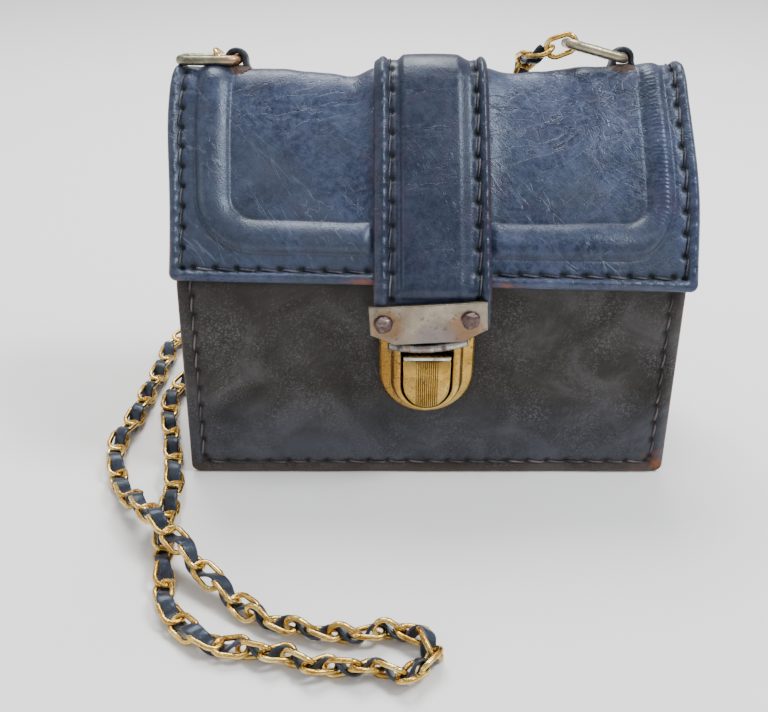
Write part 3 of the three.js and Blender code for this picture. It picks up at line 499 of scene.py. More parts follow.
def graded(low, high, fine, coarse, border):
    """Positions from low to high: fine steps within the border at both ends, coarse between."""
    edge = np.arange(0, border, fine)
    middle = np.linspace(low + border, high - border, int((high - low - 2 * border) / coarse) + 2)
    return np.concatenate([low + edge, middle, high - edge[::-1]])


def place_flap(across, distance, out):
    """The sheet with its lower corners rounded: the edge lifts by the corner's circle and the
    lift fades over the band below the ridge."""
    past = np.maximum(0, np.abs(across) - (FLAP_WIDTH / 2 - FLAP_CORNER))
    corner = FLAP_CORNER - np.sqrt(np.maximum(0, FLAP_CORNER**2 - past**2))
    return on_leather(across, distance + corner * np.maximum(0, 1 - distance / RIDGE_FROM_EDGE), out)


inner = FLAP_THICKNESS / 2
flap_columns = graded(-FLAP_WIDTH / 2 + inner, FLAP_WIDTH / 2 - inner, 0.6, 1.35, 22)
flap_rows = np.concatenate([
    np.arange(inner, 24, 0.6), np.arange(24, crown_run + 12, 0.85),
    np.linspace(crown_run + 12.5, SIDE_LENGTH - 8, 56), SIDE_LENGTH - inner - np.arange(6, -0.1, -0.6),
])
flap = sheet_piece(place_flap, flap_columns, flap_rows, FLAP_THICKNESS, flap_marks)
flap = piece("flap_and_back", *flap[:2], flap_leather, "flap_leather", attributes=flap[2])
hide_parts("back_and_flap")


# The stitches: waxed linen thread, sewn by hand with two needles. Each stitch lies in the seam's
# groove between two awl holes, where its ends go down into the leather.
THREAD_RADIUS, STITCH_RISE, STITCH_DEPTH = 0.38, 0.1, 0.85


def tubes(centres, normals, radius, sides, loop=False):
    """Round tubes along many paths at once: a point of the section lies from the path's point by
    the radius, turned between the given normal and the direction square to it and the path."""
    along = np.gradient(centres, axis=1)
    if loop:
        along = np.roll(centres, -1, 1) - np.roll(centres, 1, 1)
    side = unit(np.cross(along, normals))
    up = unit(np.cross(side, along))
    angle = np.arange(sides) * 2 * np.pi / sides
    circle = np.cos(angle)[:, None] * side[:, :, None, :] + np.sin(angle)[:, None] * up[:, :, None, :]
    points = centres[:, :, None, :] + np.asarray(radius)[..., None, None] * circle
    count, length = centres.shape[:2]
    one = grid_faces(length, sides, wrap=True, loop=loop)
    start = np.arange(count) * length * sides
    faces = (one[None] + start[:, None, None]).reshape(-1, 4)
    ring = np.arange(sides)
    ends = [] if loop else [start[:, None] + ring, start[:, None] + (length - 1) * sides + ring[::-1]]
    return points.reshape(-1, 3), faces, [cap for end in ends for cap in end]


def stitch_paths(place, holes, sunk):
    """Stitches between neighbouring holes of a seam, sunk into its groove. Each is a low arch:
    down by the stitch depth at both ends, up by its rise at the middle, and slanting a little
    across the seam."""
    t = np.linspace(0, 1, 9)
    spans = np.diff(holes, axis=0)
    start = holes[:-1] + 0.08 * spans
    flat = start[:, None, :] + 0.84 * spans[:, None, :] * t[None, :, None]
    slant = unit(np.stack([-spans[:, 1], spans[:, 0]], -1))
    flat = flat + 0.28 * np.cos(np.pi * t)[None, :, None] * slant[:, None, :]
    rise = STITCH_RISE - STITCH_DEPTH * np.abs(2 * t - 1) ** 4
    low, high = (place(flat[..., 0], flat[..., 1], np.broadcast_to(out - sunk, flat.shape[:2]))
                 for out in (rise, rise + 1))
    return low, unit(high - low)


def sewn(name, place, seams, sunk, finish, slot, radius=THREAD_RADIUS):
    """All stitches of a sheet's seams as one piece."""
    stitches = [stitch_paths(place, holes, sunk) for holes in seams]
    paths, normals = (np.concatenate(part) for part in zip(*stitches))
    thickness = radius * (1 - 0.3 * np.abs(np.linspace(-1, 1, 9)) ** 3)
    points, faces, caps = tubes(paths, normals, thickness, 6)
    return piece(name, points, faces, finish, slot, caps=caps)


def thread_finish(name, dark, light):
    """Waxed thread: its lay as a fine slanting wave, dulled and browned where it is rubbed."""
    material, shader, add = start_finish(name, 0.42)
    where = add("TexCoord").outputs["Object"]
    ply = add("TexWave", {"Vector": where, "Scale": 900.0, "Distortion": 3.0, "Detail": 2.0},
              bands_direction="DIAGONAL").outputs["Fac"]
    rubbed = ramp(add, noise(add, where, 140.0, 4), (0.4, 0.0), (0.7, 1.0))
    colour = mix(add, rubbed, dark, light)
    colour = mix(add, times(add, ply, 0.35), colour, dark)
    set_surface(add, shader, colour, ply, 0.6, 0.0001)
    return material


navy_thread = thread_finish("navy_thread", (0.012, 0.013, 0.022), (0.12, 0.115, 0.13))


def seam_along(across, holes):
    """The holes of a seam that runs along the sheet, all equally far across."""
    return np.stack([np.full(len(holes), across), holes], -1)


def seam_across(holes, distance):
    return np.stack([holes, np.full(len(holes), distance)], -1)


side_holes = FIRST_HOLE + SEAM_PITCH * np.arange(31)
cross_holes = SEAM_PITCH * np.arange(-11, 12)
flap_seams = [seam_along(side * (FLAP_WIDTH / 2 - SEAM_IN), side_holes) for side in (-1, 1)]
flap_seams += [seam_across(cross_holes[side * cross_holes > 17], SEAM_IN) for side in (-1, 1)]
flap_seams.append(seam_across(cross_holes, SIDE_LENGTH - SEAM_IN))
sewn("flap_stitches", place_flap, flap_seams, 0.12, navy_thread, "flap_leather")


# The front panel: one stiff sheet of the same hide, undyed on its dusty suede face, sewn to the
# gusset down both sides and along its foot. It bends in under the flap.
PANEL_THICKNESS, PANEL_HEIGHT, BODY_TAPER, BODY_CORNER = 2.2, 98.0, 2.3, 3.5
BEND_SOFTNESS, FLAP_GAP, PANEL_SEAM_IN, PANEL_PITCH = 2.0, 0.9, 4.7, 7.2


def half_width(height):
    """Half the body's width: it narrows towards the flap's edge and stays so above it."""
    return BODY_WIDTH / 2 - BODY_TAPER * np.minimum(1, height / EDGE_HEIGHT)


def inside(low, high, height, inwards):
    """Depth of the inner side of the side view at a height, a distance in from its outer face."""
    depth, up, out_y, out_z = side_view(np.linspace(low, high, 200))
    order = np.argsort(up - inwards * out_z)
    return np.interp(height, (up - inwards * out_z)[order], (depth - inwards * out_y)[order])


def wall(height, inwards):
    """The front wall: upright below and along the flap above, joined by a hyperbola that is as
    round as the bend's softness."""
    upright = -BODY_DEPTH / 2 + inwards
    sloping = inside(0, 0.36 * SIDE_LENGTH, height, FLAP_THICKNESS + FLAP_GAP + inwards)
    return (upright + sloping + np.hypot(upright - sloping, BEND_SOFTNESS)) / 2


def place_panel(across, height, out):
    """The panel's face at a height, with its lower corners rounded in plan by lifting its foot."""
    half = BODY_WIDTH / 2
    past = np.maximum(0, np.abs(across) - (half - BODY_CORNER))
    lowest = BODY_CORNER - np.sqrt(np.maximum(0, BODY_CORNER**2 - past**2))
    up = height + lowest * np.maximum(0, 1 - height / (2 * BODY_CORNER))
    face, back = wall(up, 0), wall(up, PANEL_THICKNESS)
    y = face - (back - face) / PANEL_THICKNESS * out
    return as_points(across / half * half_width(up), y, up)


def panel_marks(across, height):
    """Relief and marks of the panel: its three seams, a few soft dents, a worn foot whose right
    corner is rubbed to the brown of the hide, and painted shade under the flap and round the lock."""
    from_side = BODY_WIDTH / 2 - np.abs(across)
    side_relief, side_hole = seam_marks(PANEL_SEAM_IN - from_side, height, PANEL_PITCH)
    foot_relief, foot_hole = seam_marks(PANEL_SEAM_IN - height, across, PANEL_PITCH)
    by_side = soft_step(PANEL_SEAM_IN - 0.8, PANEL_SEAM_IN, height)
    by_foot = soft_step(PANEL_SEAM_IN - 0.8, PANEL_SEAM_IN, from_side)
    relief = 0.7 * (side_relief * by_side + foot_relief * by_foot)
    relief = relief + waves((0.1, across / 61 + height / 75), (0.07, across / 33 - height / 52 + 0.3))
    relief = relief - 0.35 * bump_at(across, -40, 14) * bump_at(height, 50, 10)
    hole = np.maximum(side_hole * by_side, foot_hole * by_foot)
    corner = np.exp(-np.hypot(across - BODY_WIDTH / 2 + 3, height - 3) / 5)
    edge = np.exp(-np.minimum(from_side, height + 0.5) / 0.8) + 1.6 * corner
    # Painted shade: darker under the flap, and a soft painted shadow round the lock, partly dirt as well.
    shade = np.maximum(soft_step(60, 82, height), 0.8 * bump_at(np.hypot(across + 1, height - 44), 0, 24))
    return relief, np.stack([hole, edge, shade], -1)


SUEDE_LOW, SUEDE_MID, SUEDE_HIGH = (0.008, 0.0065, 0.005), (0.023, 0.0205, 0.018), (0.052, 0.049, 0.05)
SUEDE_DUST, SHADE_BROWN, FOOT_BROWN = (0.12, 0.115, 0.125), (0.016, 0.012, 0.008), (0.055, 0.033, 0.022)
FOOT_BLUE = (0.05, 0.062, 0.1)


def suede_finish(name, low=SUEDE_LOW, middle=SUEDE_MID, high=SUEDE_HIGH, dust=SUEDE_DUST):
    """The flesh side of the hide: charcoal nap with pale dust, brown painted shade under the flap
    and round the lock, where dirt from hands adds to it, black painted shade in the awl holes and
    orange-brown on its rubbed edges."""
    material, shader, add = start_finish(name, 0.8, specular=0.3)
    lay = attribute(add, "lay")
    hole, edge, shade = parts(add, attribute(add, "marks"))
    cloud = noise(add, lay, 0.04, 6, 0.62, 0.8)
    colour = ramp(add, cloud, (0.34, low), (0.5, middle), (0.66, high))
    nap = noise(add, lay, 1.5, 5, 0.8)
    dusty = ramp(add, noise(add, lay, 0.06, 3), (0.4, 0.1), (0.62, 0.9))
    speck = mix(add, dusty, (0, 0, 0), ramp(add, nap, (0.5, 0.0), (0.64, 1.0)))
    colour = mix(add, speck, colour, dust)
    rub = ramp(add, noise(add, stretched(add, lay, 68, (5.0, 0.35, 1.0)), 1.0, 3), (0.6, 0.0), (0.72, 0.35))
    colour = mix(add, rub, colour, dust)
    colour = mix(add, times(add, shade, 0.7), colour, SHADE_BROWN)
    foot = parts(add, lay)["Y"]
    bluish = ramp(add, times(add, foot, 0.02), (0.06, 0.0), (0.16, 0.75), (0.4, 0.5), (0.7, 0.0))
    colour = mix(add, times(add, bluish, cloud), colour, FOOT_BLUE)
    near_foot = ramp(add, times(add, foot, 0.1), (0.1, 0.7), (0.5, 0.0))
    colour = mix(add, near_foot, colour, FOOT_BROWN)
    patch = ramp(add, noise(add, lay, 0.25, 3), (0.45, 0.1), (0.6, 1.0))
    worn = mix(add, patch, (0, 0, 0), ramp(add, edge, (0.3, 0.0), (1.0, 0.9)))
    colour = mix(add, worn, colour, RAW_EDGE)
    # Painted shade: the awl holes go nearly black.
    colour = mix(add, hole, colour, HOLE_SHADE)
    fibre = noise(add, lay, 1.1, 6, 0.7, 0.5)
    height = scaled(add, nap, 0.5, fibre)
    set_surface(add, shader, colour, height, 0.5, 0.0003, Roughness=scaled(add, cloud, -0.3, 0.86))
    shader.inputs["Sheen Weight"].default_value = 0.15
    shader.inputs["Sheen Roughness"].default_value = 0.5
    return material


suede = suede_finish("suede")
reach = PANEL_THICKNESS / 2
panel_columns = graded(-BODY_WIDTH / 2 + reach, BODY_WIDTH / 2 - reach, 0.6, 1.7, 9)
panel_rows = np.concatenate([np.arange(reach, 9, 0.6), np.linspace(9.6, PANEL_HEIGHT - reach, 66)])
panel = sheet_piece(place_panel, panel_columns, panel_rows, PANEL_THICKNESS, panel_marks)
panel = piece("front_leather", *panel[:2], suede, "body_leather", attributes=panel[2])
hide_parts("front_panel")

brown_thread = thread_finish("brown_thread", (0.02, 0.014, 0.015), (0.2, 0.15, 0.16))
panel_seams = [seam_along(side * (BODY_WIDTH / 2 - PANEL_SEAM_IN), PANEL_PITCH * np.arange(1, 14))
               for side in (-1, 1)]
panel_seams.append(seam_across(PANEL_PITCH * np.arange(-11, 12), PANEL_SEAM_IN))
sewn("front_stitches", place_panel, panel_seams, 0.1, brown_thread, "body_leather", radius=0.36)


# The gusset: one long strip of thinner hide, bent up both sides, with its two edges turned in
# behind the front and the back, where the seams catch them. Its sides bow in a little.
GUSSET_THICKNESS, GUSSET_INSET, GUSSET_HEIGHT, SEAM_WIDTH = 1.8, 1.2, 124.0, 7.0
CLEARANCE, TIGHTEST_BEND, SIDE_BOW = 0.3, 0.4, 1.6


def gusset_section(height, bow):
    """Insets and depths round the strip's section: the bowed outer face from front to back, the
    turned edge behind, the inner face and the turned edge in front. The bow is a parabola."""
    front = wall(height, PANEL_THICKNESS + CLEARANCE)
    back = inside(0.44 * SIDE_LENGTH, SIDE_LENGTH, height, FLAP_THICKNESS + 2 * CLEARANCE)
    t = np.linspace(0, 1, 17)
    outer = np.stack([bow * 4 * t * (1 - t), front + (back - front) * t], -1)
    edge = np.linspace(outer[-1, 0], SEAM_WIDTH, 5)[1:]
    rear = np.stack([edge, np.full(4, back)], -1)
    wall_depth = np.clip(outer[::-1, 1], front + GUSSET_THICKNESS, back - GUSSET_THICKNESS)
    inner_face = np.stack([outer[::-1, 0] + GUSSET_THICKNESS, wall_depth], -1)
    inner_face = np.vstack([[SEAM_WIDTH, back - GUSSET_THICKNESS], inner_face])
    front_edge = np.stack([edge, np.full(4, front)], -1)[::-1]
    return np.vstack([outer, rear, inner_face, [[SEAM_WIDTH, front + GUSSET_THICKNESS]], front_edge])


def gusset_side(height):
    inset, depth = gusset_section(height, SIDE_BOW * soft_step(12, 50, height)).T
    return np.stack([half_width(height) - GUSSET_INSET - inset, depth, np.full(len(inset), height)], -1)


def gusset_corner(angle):
    """The strip's bend under the bag: each inset turns on its own radius about one centre line."""
    inset, depth = gusset_section(0.0, 0.0).T
    centre = np.maximum(BODY_CORNER, inset + TIGHTEST_BEND)
    x = BODY_WIDTH / 2 - GUSSET_INSET - centre + (centre - inset) * np.cos(angle)
    return np.stack([x, depth, centre - (centre - inset) * np.sin(angle)], -1)


right_side = [gusset_side(height) for height in np.linspace(GUSSET_HEIGHT, SEAM_WIDTH + BODY_CORNER, 60)]
right_side += [gusset_corner(angle) for angle in np.linspace(0, np.pi / 2, 9)]
last_bend = right_side[-1]
right_side = np.array(right_side + [last_bend * [share, 1, 1] for share in np.linspace(0.9, 0, 10)])
strip = np.concatenate([right_side, right_side[-2::-1] * [-1, 1, 1]])
# The distances start well above the finish's worn foot, which only the front panel shows.
strip_run = np.linspace(60, 460, len(strip))[:, None] * np.ones(strip.shape[1])
strip_lay = np.stack([strip[..., 1], strip_run, np.ones_like(strip_run)], -1)
top_wear = np.exp(-(GUSSET_HEIGHT - strip[..., 2]) / 1.2)
# The third mark is painted shade: the sides darken towards their top, under the flap.
strip_marks = np.stack([0 * top_wear, 0.8 * top_wear, 0.35 * soft_step(70, 124, strip[..., 2])], -1)
gusset = piece("side_and_foot", strip, grid_faces(*strip.shape[:2], wrap=True), suede, "body_leather",
               attributes={"lay": strip_lay, "marks": strip_marks}, caps=end_caps(*strip.shape[:2]))
rounding = gusset.modifiers.new("turned_edges", "BEVEL")
rounding.width, rounding.segments, rounding.angle_limit = 0.0006, 2, np.radians(50)
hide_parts("gusset")


# The centre strap: a band of leather folded over a narrow pad of felt and sewn beside it, which
# runs from behind the hasp up the flap and over the top. A crease shuts the pad's lower end.
STRAP_THICKNESS, PAD_WIDTH, PAD_HEIGHT, PAD_SHIFT = 2.0, 22.5, 1.8, 0.8
TONGUE_LENGTH, PAD_END, STRAP_BEHIND_CROWN, LOCK_PROUD = 14.0, 6.0, 60.0, 5.0
STRAP_SEAMS, STRAP_PITCH = (-13.7, 15.3), 7.7
tongue_y = -BODY_DEPTH / 2 - LOCK_PROUD - 2 * CLEARANCE
tongue_heights = EDGE_HEIGHT - TONGUE_LENGTH * np.array([1, 0.75, 0.5, 0.25, 0.1])
tongue = np.stack([np.full(5, tongue_y), tongue_heights], -1)
depth, height, out_y, out_z = side_view(np.linspace(4.5, crown_run + STRAP_BEHIND_CROWN, 30))
on_flap = np.stack([depth + out_y * CLEARANCE, height + out_z * CLEARANCE], -1)
strap_points = smooth_curve(np.vstack([tongue, on_flap]), 12)
strap_run = run_along(strap_points)
strap_slope = unit(np.gradient(strap_points, strap_run, axis=0))
STRAP_LENGTH = strap_run[-1]


def place_strap(across, distance, out):
    """A point of the strap: its under face lies on the tongue's line and then on the leather, and
    the top line's sag carries it too. Out is measured from the middle of its upper skin."""
    depth, height = np.moveaxis(at_run(distance, strap_run, strap_points), -1, 0)
    along = unit(at_run(distance, strap_run, strap_slope))
    rise = STRAP_THICKNESS + out
    z = height + along[..., 0] * rise + top_lift(across / (FLAP_WIDTH / 2), height)
    return as_points(across, depth - along[..., 1] * rise, z)


def strap_marks(across, distance):
    """Relief and marks of the strap: the pad with its round shoulders, the flanges with their
    seams and rolled edges, the creases that shut the pad, and crow's feet on the top bend."""
    from_pad = np.abs(across - PAD_SHIFT) - PAD_WIDTH / 2
    left = across < PAD_SHIFT
    shoulder = np.where(left, 1.6, 3.4)
    pad = PAD_HEIGHT * (1 - soft_step(-shoulder, 0.5, from_pad)) ** 0.8
    pad = pad * (1 - 0.25 * ((across - PAD_SHIFT) / (PAD_WIDTH / 2)) ** 2 * (from_pad < 0))
    ends = soft_step(TONGUE_LENGTH - 3.1, TONGUE_LENGTH - 0.7, distance)
    ends = ends * (1 - soft_step(STRAP_LENGTH - 2 * PAD_END, STRAP_LENGTH - PAD_END, distance))
    relief = pad * ends - 0.35 * bump_at(distance, TONGUE_LENGTH - 3.3, 0.6) * (from_pad < 1)
    hole = np.zeros_like(relief)
    for seam in STRAP_SEAMS:
        seam_relief, seam_hole = seam_marks(np.sign(seam) * (across - seam), distance - 3, STRAP_PITCH)
        sewn_here = soft_step(8, 10, distance)
        relief, hole = relief + 1.1 * seam_relief * sewn_here, np.maximum(hole, seam_hole * sewn_here)
    sunk, thin = bump_at(from_pad, 1.2, 1.1) * ends, bump_at(from_pad, 1.6, 0.5) * ends
    relief = relief - 0.3 * sunk + 0.35 * bump_at(np.abs(across), STRAP_WIDTH / 2 - 2.2, 1.1)
    bend = bump_at(distance, TONGUE_LENGTH + crown_run - 6, 22)
    feet = waves((0.025, distance / 4.1 + across / 30), (0.015, distance / 2.3 - across / 21))
    relief = relief + bend * feet
    edge = np.exp(-(STRAP_WIDTH / 2 - np.abs(across)) / 0.8)
    return relief, np.stack([hole, edge, 0.75 * thin * left], -1)


strap_leather = leather_finish(
    "strap_leather", (0.006, 0.008, 0.021), (0.015, 0.02, 0.042), (0.038, 0.047, 0.08), 0.34,
    scratches=((4, (7.0, 0.8, 1.0), 0.022), (-60, (9.0, 1.1, 1.0), 0.012)),
    cells=(4, (6.0, 2.6, 1.0), 0.6, 0.4), raw=0.16)
reach = STRAP_THICKNESS / 2
strap_columns = np.linspace(-STRAP_WIDTH / 2 + reach, STRAP_WIDTH / 2 - reach, 62)
strap_rows = np.concatenate([np.arange(reach, 115, 0.85), np.linspace(116, STRAP_LENGTH - reach, 24)])
strap = sheet_piece(place_strap, strap_columns, strap_rows, STRAP_THICKNESS, strap_marks)
strap = piece("strap_leather", *strap[:2], strap_leather, "flap_leather", attributes=strap[2])
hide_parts("centre_strap")

strap_holes = 3 + STRAP_PITCH * np.arange(1, int((STRAP_LENGTH - 6) / STRAP_PITCH) + 1)
strap_seams = [seam_along(seam, strap_holes) for seam in STRAP_SEAMS]
sewn("strap_stitches", place_strap, strap_seams, 0.12, navy_thread, "flap_leather")


# The hasp: a stamped nickel plate at the strap's end, held by two iron rivets whose hammered
# heads have rusted. It sits a little crooked.
LOCK_ACROSS, HASP_BELOW_EDGE, HASP_TILT, HASP_THICKNESS, HASP_HEIGHT = -1.2, 11.2, 3.2, 1.8, 14.0
RIVET_RADIUS, RIVET_HEIGHT, RIVET_SPACING, RIVET_SHIFT, RIVET_BELOW_TOP = 3.0, 2.3, 28.0, -0.6, 5.9
hasp_back = tongue_y - STRAP_THICKNESS - CLEARANCE


def metal_finish(name, low, middle, high, roughness, tint_colour, stains, scale=1.0):
    """Old metal on Object coordinates: a mottled plating, hair scratches, pits with dark edges and
    stains of rust or verdigris, which are rougher and less metallic than the rest."""
    material, shader, add = start_finish(name, roughness, metallic=1.0)
    where = add("TexCoord").outputs["Object"]
    cloud = noise(add, where, 120 * scale, 5, 0.65, 0.4)
    colour = ramp(add, cloud, (0.32, low), (0.5, middle), (0.68, high))
    fine = noise(add, stretched(add, where, 20, (4.0, 0.25, 1.0)), 2600.0 * scale, 3, 0.6)
    line = ramp(add, fine, (0.58, 0.0), (0.66, 0.25))
    colour = mix(add, line, colour, high)
    spots = noise(add, where, 520 * scale, 5, 0.7)
    pit = ramp(add, spots, (0.6, 0.0), (0.66, 0.9))
    colour = mix(add, pit, colour, low)
    field = noise(add, where, 75 * scale, 4, 0.7, 0.8)
    patch = ramp(add, scaled(add, spots, 0.35, field), stains, (stains[0] + 0.09, 0.9))
    colour = mix(add, patch, colour, tint_colour)
    shine = scaled(add, cloud, -0.35, roughness + 0.18)
    shine = scaled(add, patch, 0.3, scaled(add, pit, 0.25, shine))
    bare = scaled(add, patch, -0.75, 1.0)
    height = scaled(add, pit, -0.8, scaled(add, cloud, 0.5, line))
    set_surface(add, shader, colour, height, 0.45, 0.0002, Roughness=shine, Metallic=bare)
    return material


def stained_or_shaded(finish, places, tint_colour):
    """A colour round some places, used for rust, dark chips and painted shade: it fades with the distance
    from each, broken up by noise.
    """
    shader = finish.node_tree.nodes["Principled BSDF"]
    add = start_adding(finish.node_tree)
    where = add("TexCoord").outputs["Object"]
    colour = shader.inputs["Base Color"].links[0].from_socket
    for place, reach in places:
        away = add("VectorMath", {0: where, 1: tuple(np.asarray(place) * 0.001)}, operation="DISTANCE")
        near = scaled(add, noise(add, where, 420.0, 4, 0.7), -0.5,
                     maths(add, "DIVIDE", away.outputs["Value"], reach * 0.001))
        colour = mix(add, ramp(add, near, (0.35, 0.75), (0.8, 0.0)), colour, tint_colour)
    add(None, {"Base Color": colour}, node=shader)


nickel = metal_finish("old_nickel", (0.205, 0.17, 0.13), (0.265, 0.225, 0.17), (0.33, 0.285, 0.22), 0.36,
                      (0.24, 0.15, 0.08), (0.92, 0.0))
hasp_middle = np.array([LOCK_ACROSS, hasp_back - HASP_THICKNESS, EDGE_HEIGHT - HASP_BELOW_EDGE])
stained_or_shaded(nickel, [(hasp_middle + [-13.5, 0, -0.5], 6.5), (hasp_middle + [11.5, 0, -2.5], 7.5)],
        (0.2, 0.11, 0.055))
# Painted shade: a grey-purple darkening at the plate's lower middle, above the bar.
stained_or_shaded(nickel, [(hasp_middle + [2, 0, -7], 9)], (0.2, 0.17, 0.175))
for material_slot in bpy.data.objects["hasp_plate"].material_slots:
    material_slot.material = nickel
iron = metal_finish("rusted_iron", (0.06, 0.04, 0.045), (0.15, 0.1, 0.095), (0.32, 0.26, 0.26), 0.45,
                    (0.1, 0.055, 0.04), (0.66, 0.0), scale=2.0)


def rivet_head(side):
    """A dome: each ring's radius is the cosine of its rise, roughened by hammered dents."""
    rises, turns = np.linspace(0, np.pi / 2, 20)[:-1], np.linspace(0, 2 * np.pi, 49)[:-1]
    rise, turn = np.meshgrid(rises, turns, indexing="ij")
    circle = turn / (2 * np.pi)
    dents = waves((0.035, circle * 3 + rise * 0.4 + side), (0.03, circle * 5 - rise * 0.7),
                  (0.02, circle * 11 + rise * 2.1)) * np.cos(rise) ** 0.5
    radius, high = RIVET_RADIUS * np.cos(rise) * (1 + dents), RIVET_HEIGHT * np.sin(rise) * (1 + 0.6 * dents)
    tilt = np.radians(HASP_TILT)
    across = RIVET_SHIFT + side * RIVET_SPACING / 2 + radius * np.cos(turn)
    up = HASP_HEIGHT / 2 - RIVET_BELOW_TOP + radius * np.sin(turn)
    middle = EDGE_HEIGHT - HASP_BELOW_EDGE
    return np.stack([LOCK_ACROSS + across * np.cos(tilt) - up * np.sin(tilt),
                     hasp_back - HASP_THICKNESS - CLEARANCE - high,
                     middle + across * np.sin(tilt) + up * np.cos(tilt)], -1)


for name, side in (("left", -1), ("right", 1)):
    head = rivet_head(side)
    rivet = piece("rivet_" + name, head, grid_faces(*head.shape[:2], wrap=True), iron, "oxide",
                  caps=end_caps(*head.shape[:2]))
    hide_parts("hasp_rivet_" + name)


# The bar: a bowed steel rod below the hasp plate. Its plating has flaked, and it has rusted in
# patches.
BAR_LENGTH, BAR_RADIUS, BAR_SAG, BAR_BELOW_HEAD, LOCK_FOOT, LOCK_HEIGHT = 26.0, 1.65, 2.0, 3.45, 27.986, 34.0
LOCK_BACK = -BODY_DEPTH / 2 - CLEARANCE
share = np.linspace(-1, 1, 61)
rod_height = LOCK_FOOT + LOCK_HEIGHT - BAR_BELOW_HEAD + np.tan(np.radians(HASP_TILT)) * share * BAR_LENGTH / 2
rod = np.stack([LOCK_ACROSS + share * BAR_LENGTH / 2,
                np.full(61, LOCK_BACK - LOCK_PROUD - CLEARANCE - BAR_RADIUS),
                rod_height - BAR_SAG * (1 - share**2)], -1)
rod_radius = BAR_RADIUS * (1 + waves((0.02, share * 4.3), (0.01, share * 9.7 + 0.2)))
rod_radius = rod_radius * np.sqrt(np.clip((1 - np.abs(share)) / 0.035, 0.15, 1))
rod = tubes(rod[None], np.array([0, -1.0, 0]), rod_radius, 20)
flaked_steel = metal_finish("flaked_steel", (0.12, 0.105, 0.1), (0.3, 0.29, 0.28), (0.46, 0.45, 0.42), 0.24,
                            (0.07, 0.035, 0.02), (0.8, 0.0), scale=1.5)
rod_middle = rod[0].mean(0)
stained_or_shaded(flaked_steel, [(rod_middle + [x, 0, -2.9], 3.6) for x in (-6.5, -1, 4.5)], (0.2, 0.09, 0.045))
stained_or_shaded(flaked_steel, [(rod_middle + [x, -1, 0], 1.3) for x in (-9.5, 5.2)], (0.03, 0.02, 0.025))
bar = piece("hasp_rod", rod[0], rod[1], flaked_steel, "steel", caps=rod[2])
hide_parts("hasp_bar")


# The tuck lock: a pressed brass case, square above and round below, that steps up to a window for
# the thumb lever. Its lacquer has gone from the left slope, which has turned orange.
LOCK_WIDTH, LEVER_WIDTH, LEVER_HEIGHT, LEVER_BELOW_TOP = 32.2, 15.8, 20.0, 9.3
LEVER_THICKNESS, LEVER_PROUD, LEVER_GAP, LEVER_HEADROOM = 4.3, 1.6, 0.8, 1.5
lever_head = LOCK_FOOT + LOCK_HEIGHT - LEVER_BELOW_TOP
lever_foot = lever_head - LEVER_HEIGHT
# Steps of the case from its foot inwards: shares of half the width, of the height at its foot
# and its head, and of how far it stands out.
LOCK_ROWS = np.array([
    (1, 0, 1, 0), (1.0, 0, 1, 0.2), (0.985, 0.008, 0.995, 0.27), (0.955, 0.022, 0.988, 0.42),
    (0.93, 0.035, 0.98, 0.49), (0.9, 0.043, 0.976, 0.52), (0.82, 0.06, 0.965, 0.58),
    (0.76, 0.07, 0.957, 0.62), (0.748, 0.074, 0.955, 0.66), (0.7, 0.084, 0.95, 0.9),
    (0.685, 0.088, 0.948, 0.965), (0.665, 0.094, 0.938, 0.995), (0.64, 0.1, 0.93, 1.0),
    (0.575, 0.117, 0.9, 0.99),
])


def case_outline(half, foot, head, depth):
    """A D: half a circle below, and straight sides that run up to two round corners."""
    turn = np.linspace(0, np.pi, 49)
    corner = min(1.2, 0.12 * half)
    bend = np.linspace(0, np.pi / 2, 7)
    x = np.concatenate([half - corner + corner * np.sin(bend), half * np.cos(turn),
                        -half + corner - corner * np.cos(bend)])
    up = np.concatenate([head - corner + corner * np.cos(bend), foot + half - half * np.sin(turn),
                         head - corner + corner * np.sin(bend)])
    return np.stack([LOCK_ACROSS + x, np.full(len(x), depth), up], -1)


case = [case_outline(share * LOCK_WIDTH / 2, LOCK_FOOT + foot * LOCK_HEIGHT,
                     LOCK_FOOT + head * LOCK_HEIGHT, LOCK_BACK - proud * LOCK_PROUD)
        for share, foot, head, proud in LOCK_ROWS]
# The window's walls, and its floor.
half, foot, head = LEVER_WIDTH / 2 + LEVER_GAP, lever_foot - LEVER_GAP, lever_head + LEVER_HEADROOM
case += [case_outline(half, foot, head, LOCK_BACK - depth)
         for depth in (0.96 * LOCK_PROUD, 0.9 * LOCK_PROUD, 0.45 * LOCK_PROUD, 0.2)]
case.append(case_outline(0.6 * half, foot + 0.4 * half, head - 1, LOCK_BACK - 0.2))
case = np.array(case)


